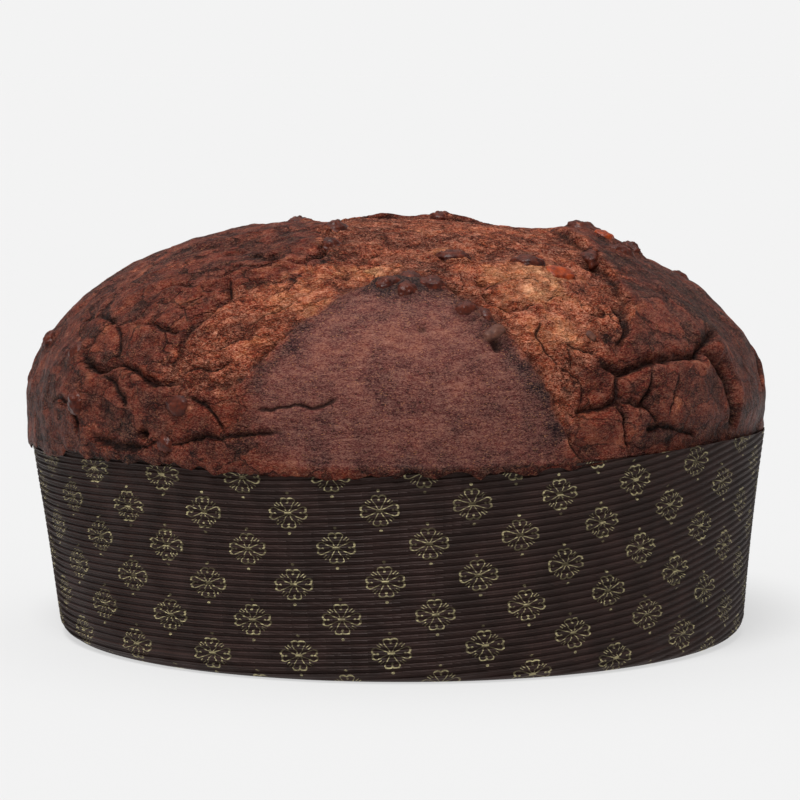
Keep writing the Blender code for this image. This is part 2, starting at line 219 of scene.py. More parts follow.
def mesh_object(name: str, points: np.ndarray, faces: list | np.ndarray) -> bpy.types.Object:
    """Make a linked, smooth shaded mesh object at the origin.

    Args:
        name: The piece's name.
        points: Vertex positions in metres.
        faces: Vertex indices of each face.

    Returns:
        The object.
    """
    mesh = bpy.data.meshes.new(name)
    mesh.from_pydata([tuple(p) for p in points], [], [tuple(int(i) for i in f) for f in faces])
    mesh.validate()
    mesh.shade_smooth()
    item = bpy.data.objects.new(name, mesh)
    bpy.context.scene.collection.objects.link(item)
    return item


def store(item: bpy.types.Object, name: str, values: np.ndarray) -> None:
    """Store one float for each vertex, for a material or a node tree to read."""
    layer = item.data.attributes.new(name, "FLOAT", "POINT")
    layer.data.foreach_set("value", np.asarray(values, dtype=np.float32))


def fractal(points: np.ndarray, size: float, octaves: int, shift: float) -> np.ndarray:
    """Fractal unevenness of about 1 in height.

    Args:
        points: Places with two or three coordinates each, in metres.
        size: Width of the largest bumps, in metres.
        octaves: How many finer layers are added.
        shift: Moves the pattern, so that two fields differ.

    Returns:
        One value for each place.
    """
    places = np.column_stack((points, np.zeros(len(points)))) if points.shape[1] == 2 else points
    scaled = places / size + shift
    return np.array([noise.fractal(Vector(p), 0.9, 2.0, octaves) for p in scaled])


@dataclass(frozen=True)
class FlapEdge:
    """The edge of a crust flap, in millimetres: the flap lies on the left of the line.

    It rises by rise at the line, and over sink it goes back down to the skin.
    """

    rise: float
    sink: float
    points: tuple[tuple[float, float], ...]


@dataclass(frozen=True)
class Crease:
    """A fold pressed into the crust along a line on the skin: depth and half width, in mm."""

    depth: float
    half: float
    points: tuple[tuple[float, float], ...]


class FruitKind(Enum):
    """What a piece of fruit in the dough is."""

    RAISIN = "raisin"
    ORANGE = "candied_orange"
    CITRON = "candied_citron"


@dataclass(frozen=True)
class Fruit:
    """One piece of fruit in the skin: place, size and turn, in millimetres and degrees.

    How far it is sunk is a share of its height.
    """

    kind: FruitKind
    right: float
    forward: float
    length: float
    width: float
    turn: float
    sunk: float = 0.67


RAISIN, ORANGE, CITRON = FruitKind.RAISIN, FruitKind.ORANGE, FruitKind.CITRON

# Outline of the crumb that the cross cut tore open, right and forward on the skin in
# millimetres: along the front flap, round the left arm, the back flap and the right arm.
TEAR = ((0, 78), (-9, 82), (-19, 89), (-28, 97), (-38, 105), (-50, 110), (-62, 106), (-71, 99),
        (-67, 90), (-57, 83), (-48, 75), (-40, 72), (-31, 74), (-23, 69), (-22, 57), (-20, 40),
        (-16, 22), (-32, -2), (-56, -34), (-75, -64), (-84, -92), (-74, -92), (-58, -72),
        (-34, -54), (-12, -42), (8, -34), (30, -44), (52, -72), (66, -104), (76, -104), (76, -72),
        (64, -38), (52, -12), (46, 6), (50, 24), (56, 40), (62, 54), (66, 68), (67, 80), (62, 91),
        (57, 101), (55, 111), (58, 122), (55, 120), (46, 112), (36, 103), (24, 93), (12, 84))

# Front flap, which keeps its smooth skin between the two front arms of the cut.
SMOOTH_FLAP = ((0, 78), (-19, 89), (-38, 105), (-46, 118), (-40, 136), (0, 150), (46, 138),
               (57, 122), (36, 103), (12, 84))

# Where the torn crumb is palest: right, forward and spread in millimetres, and how pale.
PALE_CRUMB = ((36, 74, 18, 1.0), (44, 92, 12, 0.7), (-8, 72, 14, 0.8), (-30, 84, 13, 0.75),
              (20, 60, 16, 0.5), (10, 20, 20, 0.4), (-54, 96, 9, 0.4), (50, 108, 7, 0.5),
              (-50, -50, 20, 0.7), (60, -60, 20, 0.7))

# Edges that stand up over the tear, and the smooth flap's own two.
FLAPS = {
    "front_left_edge": FlapEdge(0.9, 12, ((-46, 109), (-38, 105), (-28, 97), (-19, 92), (-9, 84),
                                          (0, 78))),
    "front_right_edge": FlapEdge(0.4, 12, ((0, 78), (12, 84), (24, 93), (36, 102), (44, 111),
                                           (58, 123))),
    "right_edge": FlapEdge(1.9, 14, ((66, 94), (68, 82), (66, 68), (62, 54), (56, 40), (50, 24),
                                     (46, 6))),
    "left_edge": FlapEdge(0.6, 16, ((-14, 22), (-19, 40), (-22, 60), (-30, 66), (-40, 64),
                                    (-56, 64))),
    "back_edge": FlapEdge(1.8, 16, ((64, -92), (52, -66), (30, -44), (6, -36), (-24, -50),
                                    (-52, -78))),
}

# Folds and cracks, by where they are seen from the front.
CREASES = {
    "right_deep": Crease(3.6, 1.3, ((60, 94), (64, 97), (69, 96), (74, 90), (82, 82), (92, 71),
                                    (96, 56), (98, 45))),
    "right_lobe": Crease(4.2, 1.7, ((124, 63), (117, 62), (111, 60), (106, 59), (100, 61),
                                    (93, 66))),
    "right_mid": Crease(2.2, 1.0, ((57, 115), (63, 112), (68, 108), (71, 104), (68, 100),
                                   (69, 96))),
    "right_low": Crease(3.6, 1.5, ((85, 107), (86, 103), (90, 99), (95, 96), (101, 92), (107, 88))),
    "right_slit": Crease(1.8, 0.8, ((71, 105), (76, 110), (82, 113))),
    "right_fork": Crease(1.6, 0.8, ((71, 104), (79, 101), (88, 99))),
    "right_foot": Crease(1.5, 0.8, ((57, 122), (62, 125), (70, 126))),
    "right_fan": Crease(1.5, 0.7, ((77, 87), (79, 94), (78, 101))),
    "right_fan_low": Crease(1.5, 0.7, ((86, 83), (88, 90), (90, 96))),
    "left_high": Crease(1.8, 0.8, ((-97, 39), (-90, 48), (-87, 55), (-85, 62))),
    "left_ledge": Crease(0.8, 0.8, ((-85, 62), (-84, 69), (-85, 74), (-87, 78))),
    "left_deep": Crease(2.4, 0.9, ((-98, 60), (-96, 68), (-94, 75), (-88, 79), (-82, 85), (-78, 92),
                                   (-73, 98), (-66, 102))),
    "left_middle": Crease(1.8, 0.8, ((-78, 67), (-74, 73), (-69, 79), (-64, 83))),
    "left_fissure": Crease(2.2, 1.1, ((-65, 88), (-60, 85), (-54, 80), (-49, 76), (-47, 68))),
    "left_nick": Crease(1.8, 0.9, ((-63, 74), (-60, 72), (-56, 71))),
    "left_fold": Crease(2.6, 1.0, ((-69, 55), (-63, 59), (-58, 63), (-53, 64), (-48, 64),
                                   (-43, 61))),
    "left_slit": Crease(1.5, 0.8, ((-92, 78), (-89, 86), (-87, 95))),
    "left_edge": Crease(1.3, 0.8, ((-116, 58), (-111, 66), (-109, 75), (-112, 81))),
    "left_rim": Crease(1.3, 0.8, ((-107, 91), (-98, 101), (-88, 109))),
    "low_long": Crease(1.9, 0.8, ((-109, 83), (-103, 94), (-97, 101), (-88, 108), (-82, 111),
                                  (-76, 115), (-63, 120), (-56, 123), (-46, 126), (-34, 128))),
    "low_branch": Crease(1.0, 0.7, ((-65, 106), (-60, 111), (-58, 116), (-56, 122))),
    "low_mid": Crease(0.9, 0.7, ((-45, 120), (-37, 120), (-31, 122), (-25, 123), (-17, 122))),
    "eye_top": Crease(0.9, 0.8, ((25, 83), (28, 77), (33, 74), (38, 73), (42, 76))),
    "eye_low": Crease(1.4, 0.9, ((24, 84), (27, 87), (32, 89), (37, 87), (42, 82))),
    "eye_lip": Crease(1.1, 0.8, ((27, 71), (33, 72), (41, 72), (45, 75))),
    "arm_arc": Crease(1.2, 0.8, ((42, 82), (47, 77), (55, 76), (61, 76), (65, 81))),
    "arm_slit": Crease(1.8, 0.9, ((63, 72), (66, 78), (67, 84), (64, 88))),
    "arm_nick": Crease(1.3, 0.8, ((50, 96), (55, 95), (60, 94))),
    "arm_cut": Crease(1.0, 0.8, ((51, 96), (54, 102))),
    "arm_fold": Crease(1.4, 0.8, ((52, 75), (55, 80), (60, 79), (64, 75))),
    "arm_foot": Crease(1.2, 0.8, ((49, 103), (54, 104), (58, 107), (59, 112))),
    "arm_split": Crease(1.0, 0.7, ((42, 91), (41, 97), (44, 101), (49, 103))),
    "arm_left": Crease(1.2, 0.8, ((-43, 93), (-39, 90), (-34, 89), (-29, 86))),
    "arm_left_low": Crease(1.2, 0.8, ((-54, 97), (-50, 96), (-47, 95), (-42, 97))),
    "arm_left_foot": Crease(1.4, 0.8, ((-67, 99), (-61, 99), (-55, 102), (-49, 101))),
    "arm_left_high": Crease(1.0, 0.7, ((-39, 82), (-33, 80), (-28, 75))),
    "top_left": Crease(1.6, 0.9, ((-10, 68), (-7, 60), (-2, 55), (4, 59))),
    "top_middle": Crease(1.6, 0.9, ((10, 58), (15, 67), (22, 65), (30, 63))),
    "top_back": Crease(1.8, 1.0, ((7, 43), (15, 36), (24, 42), (36, 37))),
    "plate_edge": Crease(2.2, 0.9, ((-45, 62), (-38, 64), (-32, 63), (-27, 66), (-22, 61),
                                    (-20, 50))),
    "top_crack": Crease(2.0, 0.9, ((-60, 27), (-49, 29), (-38, 35))),
    "ridge_crack": Crease(1.6, 0.8, ((-19, 65), (-15, 73), (-8, 71), (-3, 67))),
    "back_long": Crease(2.6, 1.1, ((-96, -62), (-84, -84), (-70, -100), (-50, -112), (-30, -116))),
    "back_cross": Crease(2.2, 1.0, ((20, -104), (40, -112), (62, -110), (84, -100), (98, -84))),
    "back_right": Crease(2.4, 1.0, ((84, -30), (96, -44), (102, -62), (112, -70))),
    "back_left": Crease(1.8, 0.9, ((-88, -20), (-100, -34), (-110, -36), (-124, -30))),
    "back_low": Crease(1.6, 0.9, ((-20, -130), (-2, -124), (14, -128), (30, -124))),
    "back_branch": Crease(1.4, 0.8, ((-70, -100), (-60, -88), (-56, -76))),
    "back_fork": Crease(1.3, 0.8, ((62, -110), (66, -122), (76, -128))),
    "side_right": Crease(1.5, 0.9, ((128, 30), (118, 18), (112, 2), (116, -16))),
    "side_left": Crease(1.5, 0.9, ((-130, 14), (-120, 4), (-112, -10))),
}

# Broad swells and dips: right, forward, spread and height in millimetres.
SWELLS = ((92, 86, 16, 2.2), (78, 62, 18, 1.6), (88, 108, 10, 1.2), (-84, 96, 14, 1.4),
          (-64, 116, 12, 0.9), (-100, 62, 14, 1.2), (0, 112, 34, 1.0), (-50, 40, 22, 0.8),
          (42, 76, 16, 1.4), (-34, 84, 14, 1.0), (62, 106, 10, -1.4), (52, 128, 12, -0.8),
          (53, 87, 8, 1.0), (44, 98, 6, 0.8), (34, 81, 7, 0.7),
          (-112, 20, 12, -1.0), (20, -90, 26, 1.6), (-74, -60, 20, 1.4), (86, -62, 20, 1.4),
          (-100, -74, 14, -1.2), (54, 6, 14, 1.0), (112, 20, 16, 0.8))

# Holes where gas broke through: right, forward, radius and depth in millimetres.
PITS = ((-48, 47, 2.2, 2.0), (-40, 54, 1.6, 1.8), (-36, 57, 2.2, 2.6), (7, 103, 1.6, 0.7),
        (29, 105, 1.8, 2.0), (16, 84, 1.8, 2.2), (-85, 105, 2.0, 2.4), (57, 49, 2.6, 2.6),
        (24, 78, 1.6, 1.6), (-15, 75, 1.6, 1.6), (96, 100, 2.8, 2.4), (-40, -56, 2.4, 2.2),
        (38, -70, 2.4, 2.2), (-6, -84, 2.2, 1.8), (70, -20, 2.2, 2.2))

# Where the skin is darker or paler: right, forward and spread in millimetres, the change,
# and whether it ends at the torn edge. The flap's tip baked darker; the left shoulder is painted
# paler as painted light, where it faces the light; the right is darker.
BAKE_AND_LIGHT_SPOTS = ((3, 83, 12, -0.42, False), (-78, 34, 34, 0.14, True), (80, 36, 24, -0.12, True))

# Fruit that shows, from the front over the top to the back.
FRUIT = (
    Fruit(RAISIN, -2, 84, 8, 6, 20), Fruit(RAISIN, 4, 79, 9, 6, 100),
    Fruit(RAISIN, 10, 84, 9, 7, 160), Fruit(RAISIN, 3, 87, 7, 6, 60, 0.68),
    Fruit(RAISIN, 16, 61, 11, 7, 10), Fruit(RAISIN, 20, 94, 7, 6, 40, 0.68),
    Fruit(RAISIN, 25, 95, 6, 4, 120, 0.68), Fruit(RAISIN, 38, 61, 10, 7, 170),
    Fruit(ORANGE, 47, 62, 10, 8, 30), Fruit(RAISIN, 56, 0, 13, 9, 0, 0.68),
    Fruit(ORANGE, 61, 12, 8, 7, 90), Fruit(RAISIN, 66, 27, 9, 7, 30),
    Fruit(RAISIN, 70, 10, 8, 7, 120), Fruit(RAISIN, 57, 42, 9, 8, 80, 0.68),
    Fruit(CITRON, 57, 90, 4, 3, 150, 0.6), Fruit(RAISIN, -18, 34, 10, 8, 60, 0.73),
    Fruit(RAISIN, -20, 51, 9, 7, 140, 0.73), Fruit(RAISIN, -113, 17, 9, 7, 80),
    Fruit(RAISIN, -100, 57, 7, 6, 20, 0.76), Fruit(RAISIN, -69, 107, 8, 7, 120, 0.8),
    Fruit(RAISIN, -106, 74, 8, 7, 50, 0.76), Fruit(RAISIN, -79, 113, 6, 5, 10, 0.74),
    Fruit(CITRON, 28, 101, 8, 4, 60, 0.66), Fruit(RAISIN, -30, -20, 9, 7, 30, 0.78),
    Fruit(RAISIN, 14, -40, 10, 8, 70, 0.78), Fruit(ORANGE, -60, -52, 9, 7, 150),
    Fruit(RAISIN, 60, -52, 9, 7, 10), Fruit(RAISIN, 90, -20, 9, 7, 40, 0.68),
    Fruit(RAISIN, -6, -96, 8, 7, 90, 0.68), Fruit(ORANGE, -96, -50, 8, 6, 20, 0.68),
    Fruit(RAISIN, 44, -98, 8, 7, 130, 0.68), Fruit(RAISIN, -44, -104, 9, 7, 0, 0.68),
)


@dataclass(frozen=True)
class SkinLine:
    """A smooth line on the skin that relief can follow."""

    line: np.ndarray

    @classmethod
    def through(cls, points: tuple[tuple[float, float], ...], closed: bool = False) -> SkinLine:
        """Curve a line of given points, in millimetres, with Catmull-Rom pieces.

        Args:
            points: Places on the skin, right and forward.
            closed: Whether the line ends where it starts.

        Returns:
            The line, in metres.
        """
        knots = np.array(points, dtype=float) * MM
        if closed:
            knots = np.vstack((knots[-1], knots, knots[:2]))
        else:
            knots = np.vstack((2 * knots[0] - knots[1], knots, 2 * knots[-1] - knots[-2]))
        curve = []
        for a, b, c, d in zip(knots, knots[1:], knots[2:], knots[3:]):
            for t in (0.0, 0.25, 0.5, 0.75):
                curve.append(0.5 * (2 * b + (c - a) * t + (2 * a - 5 * b + 4 * c - d) * t ** 2
                                    + (3 * b - a - 3 * c + d) * t ** 3))
        curve.append(knots[-2])
        return cls(np.array(curve))

    def depth_inside(self, skin: np.ndarray) -> np.ndarray:
        """Distance from a closed line, positive for places inside it.

        Args:
            skin: Places on the skin, right and forward, in metres.

        Returns:
            One distance for each place, in metres.
        """
        gap, _, _ = self.reach(skin)
        within = np.zeros(len(skin), dtype=bool)
        for (x0, y0), (x1, y1) in zip(self.line, self.line[1:]):
            crosses = (y0 > skin[:, 1]) != (y1 > skin[:, 1])
            slope = (x1 - x0) / (y1 - y0) if y1 != y0 else 0.0
            within ^= crosses & (skin[:, 0] < x0 + (skin[:, 1] - y0) * slope)
        return np.where(within, gap, -gap)

    def near(self, skin: np.ndarray, reach: float) -> np.ndarray:
        """Which places lie within reach of the line's bounding box.

        Args:
            skin: Places on the skin, right and forward, in metres.
            reach: How far from the box, in metres.

        Returns:
            True or false for each place.
        """
        low = self.line.min(axis=0) - reach
        high = self.line.max(axis=0) + reach
        return np.all((skin > low) & (skin < high), axis=1)

    def reach(self, skin: np.ndarray) -> tuple[np.ndarray, np.ndarray, np.ndarray]:
        """Measure places against the line.

        Args:
            skin: Places on the skin, right and forward, in metres.

        Returns:
            Distance to the line, share of the way along it, and 1 on its left, -1 on its right.
        """
        best = np.full(len(skin), np.inf)
        along = np.zeros(len(skin))
        side = np.zeros(len(skin))
        spans = np.linalg.norm(np.diff(self.line, axis=0), axis=1)
        before = np.concatenate(([0.0], np.cumsum(spans)))
        for start, stop, span, travelled in zip(self.line, self.line[1:], spans, before):
            way = (stop - start) / span
            away = skin - start
            t = np.clip(away @ way, 0.0, span)
            gap = np.hypot(away[:, 0] - t * way[0], away[:, 1] - t * way[1])
            nearer = gap < best
            best = np.where(nearer, gap, best)
            along = np.where(nearer, (travelled + t) / before[-1], along)
            side = np.where(nearer, np.sign(way[0] * away[:, 1] - way[1] * away[:, 0]), side)
        return best, along, side


@dataclass(frozen=True)
class Rim:
    """The case's rim height round the loaf: a level with slow waves in it."""

    level: float = 60.0 * MM
    # Azimuth in degrees from the front to the right, spread in degrees, and rise.
    waves: tuple[tuple[float, float, float], ...] = (
        (58.0, 26.0, 2.3 * MM), (-38.0, 18.0, 0.9 * MM), (-92.0, 24.0, -1.6 * MM),
        (165.0, 30.0, 1.2 * MM), (-18.0, 14.0, -0.9 * MM))

    def height(self, azimuth: np.ndarray) -> np.ndarray:
        """Height of the rim at azimuths in radians.

        Args:
            azimuth: From the front, positive to the right.

        Returns:
            Heights in metres.
        """
        height = np.full(np.shape(azimuth), self.level)
        for centre, spread, rise in self.waves:
            height = height + rise * np.exp(-(degrees_from(azimuth, centre) / spread) ** 2)
        return height


@dataclass(frozen=True)
class CaseForm:
    """Outer size of the paper case, as in the frame."""

    base_radius: float = 102.6 * MM
    rim_radius: float = 109.9 * MM
    rim_shift: float = -1.3 * MM
    corner: float = 5.0 * MM
    wall: float = 1.6 * MM
    floor: float = 0.7 * MM
    rim: Rim = field(default_factory=Rim)

    def point(self, azimuth: np.ndarray, share: float, inset: float | np.ndarray) -> np.ndarray:
        """Points of the wall at a share of its height, inset from its outer face.

        Args:
            azimuth: From the front, in radians.
            share: 0 at the foot and 1 at the rim.
            inset: Distance inwards, in metres.

        Returns:
            One point for each azimuth.
        """
        radius = self.base_radius + (self.rim_radius - self.base_radius) * share - inset
        return np.stack((self.rim_shift * share + radius * np.sin(azimuth),
                         -radius * np.cos(azimuth), share * self.rim.height(azimuth)), axis=-1)


@dataclass
class Crown:
    """The smooth dome of the loaf and the places on its skin.

    A place on the skin is given to the right and forward of the dome's top, in metres measured
    over the skin.
    """

    radius: float = 110.8 * MM
    shift: float = -1.6 * MM
    foot: float = 61.6 * MM
    rise: float = 61.6 * MM
    power: float = 2.3

    def __post_init__(self) -> None:
        """Sample the profile from the top down."""
        turn = np.linspace(math.pi / 2.0, 0.0, 2001)
        self.radii = self.radius * np.abs(np.cos(turn)) ** (2.0 / self.power)
        self.radii[0] = 0.0
        self.heights = self.foot + self.rise * np.sin(turn) ** (2.0 / self.power)
        steps = np.hypot(np.diff(self.radii), np.diff(self.heights))
        self.run = np.concatenate(([0.0], np.cumsum(steps)))
        self.reach = float(self.run[-1])

    def point(self, skin: np.ndarray) -> np.ndarray:
        """Points of the smooth dome.

        Args:
            skin: Places on the skin, right and forward, in metres.

        Returns:
            One point for each place.
        """
        away = np.hypot(skin[:, 0], skin[:, 1])
        azimuth = np.arctan2(skin[:, 0], skin[:, 1])
        radius = np.interp(away, self.run, self.radii)
        height = np.interp(away, self.run, self.heights)
        return np.column_stack((self.shift + radius * np.sin(azimuth),
                                -radius * np.cos(azimuth), height))

    def normal(self, skin: np.ndarray) -> np.ndarray:
        """Outward normals of the smooth dome.

        Args:
            skin: Places on the skin, right and forward, in metres.

        Returns:
            One unit vector for each place.
        """
        step = 0.5 * MM
        right = np.array((step, 0.0))
        forward = np.array((0.0, step))
        across = self.point(skin + right) - self.point(skin - right)
        along = self.point(skin + forward) - self.point(skin - forward)
        normal = np.cross(along, across)
        return normal / np.maximum(np.linalg.norm(normal, axis=1, keepdims=True), 1e-12)


@dataclass
class FoldMarks:
    """For each place: its gap to the nearest fold, the fold's side and strength, and shade."""

    gap: np.ndarray
    side: np.ndarray
    shown: np.ndarray
    cleft: np.ndarray

    @classmethod
    def blank(cls, count: int) -> FoldMarks:
        """Marks for places that no fold is near."""
        return cls(np.full(count, np.inf), np.full(count, 3.0), np.zeros(count), np.zeros(count))

    def mark(self, near: np.ndarray, offset: np.ndarray, strength: np.ndarray) -> None:
        """Keep the nearest fold's side and strength at the places near it.

        Args:
            near: Which places lie near the fold.
            offset: Their distances from it, positive on its left.
            strength: How strongly the fold shows there, from 0 to 1.
        """
        gap = np.abs(offset)
        closer = gap < self.gap[near]
        self.gap[near] = np.where(closer, gap, self.gap[near])
        self.side[near] = np.where(closer, np.clip(offset / MM, -3.0, 3.0), self.side[near])
        held = strength * np.exp(-(gap / (1.7 * MM)) ** 4)
        self.shown[near] = np.where(closer, held, self.shown[near])


@dataclass
class CrustRelief:
    """The crust's relief above the smooth dome, with the marks that colour it."""

    crown: Crown
    tear_depth: float = 1.2 * MM
    # Widths over which the skin gives way to crumb, and smooth skin to broken skin.
    tear_ramp: float = 2.4 * MM
    flap_ramp: float = 14.0 * MM

    def __post_init__(self) -> None:
        """Curve the outlines of the tear and of the smooth front flap."""
        self.tear = SkinLine.through(TEAR, closed=True)
        self.smooth_flap = SkinLine.through(SMOOTH_FLAP, closed=True)

    def wander(self, skin: np.ndarray) -> np.ndarray:
        """Bend places a little, so that edges and creases run as unevenly as torn dough.

        Args:
            skin: Places on the skin, right and forward, in metres.

        Returns:
            The places, moved by up to about 2 mm.
        """
        coarse = np.column_stack((fractal(skin, 9.0 * MM, 2, 3.1), fractal(skin, 9.0 * MM, 2, 8.7)))
        fine = np.column_stack((fractal(skin, 2.6 * MM, 2, 1.3), fractal(skin, 2.6 * MM, 2, 6.9)))
        return skin + 1.2 * MM * coarse + 0.45 * MM * fine

    @staticmethod
    def crumb(points: np.ndarray) -> np.ndarray:
        """Rough torn crumb: lumps, pulled ridges and grains, in metres.

        Args:
            points: Points of the smooth dome, in metres.

        Returns:
            One value for each place.
        """
        lumps = fractal(points, 12.0 * MM, 3, 5.5)
        pulled = 1.0 - 2.0 * np.abs(fractal(points, 7.0 * MM, 3, 2.2))
        return MM * (0.9 * lumps + 0.5 * pulled + 0.2 * fractal(points, 2.0 * MM, 2, 4.4))

    @staticmethod
    def baked_skin(points: np.ndarray, crazed: np.ndarray) -> np.ndarray:
        """Baked skin: nearly smooth on the front flap, lumpy where it is crazed, in metres.

        Args:
            points: Points of the smooth dome, in metres.
            crazed: How broken the skin is, from 0 to 1.

        Returns:
            One value for each place.
        """
        slow = fractal(points, 17.0 * MM, 3, 9.1)
        folds = 1.0 - 2.0 * np.abs(fractal(points, 13.0 * MM, 2, 12.2))
        fine = fractal(points, 3.0 * MM, 2, 6.3)
        return MM * (0.12 * slow + crazed * (0.9 * slow + 0.35 * folds + 0.12 * fine))

    @staticmethod
    def lift_flaps(bent: np.ndarray, height: np.ndarray, folds: FoldMarks) -> None:
        """Raise the flaps' edges in the heights, and mark the lines where they end for a painted line
        of shade.

        Args:
            bent: Places on the skin, after wander.
            height: Their heights, which are changed.
            folds: Their marks, which are changed.
        """
        for flap in FLAPS.values():
            line = SkinLine.through(flap.points)
            near = line.near(bent, 2.5 * flap.sink * MM)
            gap, along, side = line.reach(bent[near])
            taper = ease(np.minimum(along, 1.0 - along) / 0.14)
            step = flap.rise * MM * np.exp(-(gap / (flap.sink * MM)) ** 1.4) * taper
            height[near] += step * ease(0.5 + side * gap / (1.0 * MM))
            # The mark gives the edge a painted line of shade and a fine groove.
            folds.mark(near, side * gap + 0.5 * MM, taper * min(1.0, flap.rise / 3.0))

    @staticmethod
    def press_creases(bent: np.ndarray, height: np.ndarray, folds: FoldMarks) -> None:
        """Press the creases into the heights, each with a ledge on one side, and mark them with
        painted shade.

        Args:
            bent: Places on the skin, after wander.
            height: Their heights, which are changed.
            folds: Their marks, which are changed.
        """
        for crease in CREASES.values():
            line = SkinLine.through(crease.points)
            half = crease.half * MM
            near = line.near(bent, 9.0 * half)
            gap, along, side = line.reach(bent[near])
            taper = ease(np.minimum(along, 1.0 - along) / 0.12)
            valley = np.exp(-(gap / half) ** 1.2)
            ledge = 0.34 * side * np.exp(-(gap / (5.0 * half)) ** 2) * ease(1.4 * gap / half)
            pillow = 0.2 * np.exp(-((gap - 2.6 * half) / (2.0 * half)) ** 2)
            height[near] += (pillow + ledge - 0.85 * valley) * crease.depth * MM * taper
            # Painted shade along the crease's bottom.
            shade = 0.1 * crease.depth * np.exp(-(gap / (0.8 * half)) ** 2) * taper
            folds.cleft[near] = np.maximum(folds.cleft[near], shade)
            folds.mark(near, side * gap, taper)

    @staticmethod
    def seat_fruit(bent: np.ndarray, height: np.ndarray, folds: FoldMarks) -> None:
        """Swell the dough round each piece of fruit and sink the pits, with painted shade round each
        piece and in each pit.

        Args:
            bent: Places on the skin, after wander.
            height: Their heights, which are changed.
            folds: Their marks, which are changed.
        """
        for fruit in FRUIT:
            gap = spreads_from(bent, fruit.right, fruit.forward, 0.5 * fruit.length)
            height += 0.8 * MM * np.exp(-(gap / 1.25) ** 4)
            # A ring of painted shade round the piece.
            ring = 0.55 * np.exp(-((gap - 0.95) / 0.2) ** 2)
            folds.cleft[:] = np.maximum(folds.cleft, ring)
        for x, y, radius, depth in PITS:
            gap = spreads_from(bent, x, y, radius)
            height -= depth * MM * np.exp(-gap ** 3)
            # Painted shade in the pit.
            pit_shade = min(1.0, 0.45 * depth) * np.exp(-(gap * 1.15) ** 3)
            folds.cleft[:] = np.maximum(folds.cleft, pit_shade)

    @staticmethod
    def bake(skin: np.ndarray, tear_gap: np.ndarray, torn: np.ndarray,
             smooth: np.ndarray) -> np.ndarray:
        """How pale the skin baked, from 0 to 1, with painted light on the left shoulder and painted
        shade low on the flap.

        Args:
            skin: Places on the skin, in metres.
            tear_gap: Distance into the tear, in metres.
            torn: Share of bare crumb.
            smooth: Share of smooth flap.

        Returns:
            The bake at each place.
        """
        # The flap's edge baked darkest, and the broken skin by the tear stayed paler.
        edge = np.exp(-(tear_gap / (6.5 * MM)) ** 2) * (1.0 - torn)
        bake = 0.3 + 0.32 * smooth - 0.42 * edge * smooth
        bake += 0.2 * np.exp(tear_gap / (22.0 * MM)) * (1.0 - torn) * (1.0 - smooth)
        # Spots of bake, with painted light on the left shoulder.
        for x, y, spread, change, skin_only in BAKE_AND_LIGHT_SPOTS:
            spot = change * np.exp(-spreads_from(skin, x, y, spread) ** 2)
            bake += spot * (1.0 - torn) if skin_only else spot
        # The smooth flap is painted darker towards its foot: painted shade where it turns down from
        # the light.
        return bake - 0.2 * smooth * ease((skin[:, 1] - 82.0 * MM) / (50.0 * MM))

    def evaluate(self, skin: np.ndarray) -> dict[str, np.ndarray]:
        """Work out the relief and its marks.

        Args:
            skin: Places on the skin, in metres.

        Returns:
            By name: height in metres; tear_gap and fold_side in millimetres, positive inside the
            tear and on a fold's left; fold_near, the painted shade of creases, pits and fruit rims,
            pale, crazed, and the bake with painted light and shade in it, from 0 to 1.
        """
        bent = self.wander(skin)
        points = self.crown.point(skin)
        tear_gap = self.tear.depth_inside(bent)
        torn = ease(0.5 + tear_gap / self.tear_ramp)
        smooth = ease(0.5 + self.smooth_flap.depth_inside(skin) / self.flap_ramp)
        # Skin on the far right is a little less broken.
        crazed = (1.0 - smooth) * (1.0 - 0.15 * ease((skin[:, 0] - 50.0 * MM) / (30.0 * MM)))
        height = 0.9 * MM * fractal(skin, 34.0 * MM, 2, 0.4)
        height += torn * (self.crumb(points) - self.tear_depth)
        height += (1.0 - torn) * self.baked_skin(points, crazed)
        pale = np.zeros(len(skin))
        for x, y, spread, strength in PALE_CRUMB:
            pale = np.maximum(pale, strength * np.exp(-spreads_from(bent, x, y, spread) ** 2))
        for x, y, spread, rise in SWELLS:
            height += rise * MM * np.exp(-spreads_from(skin, x, y, spread) ** 2)
        folds = FoldMarks.blank(len(skin))
        for shape in (self.lift_flaps, self.press_creases, self.seat_fruit):
            shape(bent, height, folds)
        return {"height": height, "tear_gap": np.clip(tear_gap / MM, -6.0, 6.0),
                "fold_side": folds.side, "fold_near": folds.shown, "cleft": folds.cleft,
                "pale": pale, "crazed": crazed, "bake": self.bake(skin, tear_gap, torn, smooth)}

    def foot_of(self, right: float, forward: float) -> tuple[Vector, Vector]:
        """The crust's surface and its outward direction at a place in millimetres.

        Args:
            right: Place to the right of the top.
            forward: Place in front of the top.

        Returns:
            A point and a unit vector.
        """
        place = np.array(((right, forward),)) * MM
        normal = self.crown.normal(place)[0]
        height = self.evaluate(place)["height"][0]
        return Vector(self.crown.point(place)[0] + normal * height), Vector(normal)


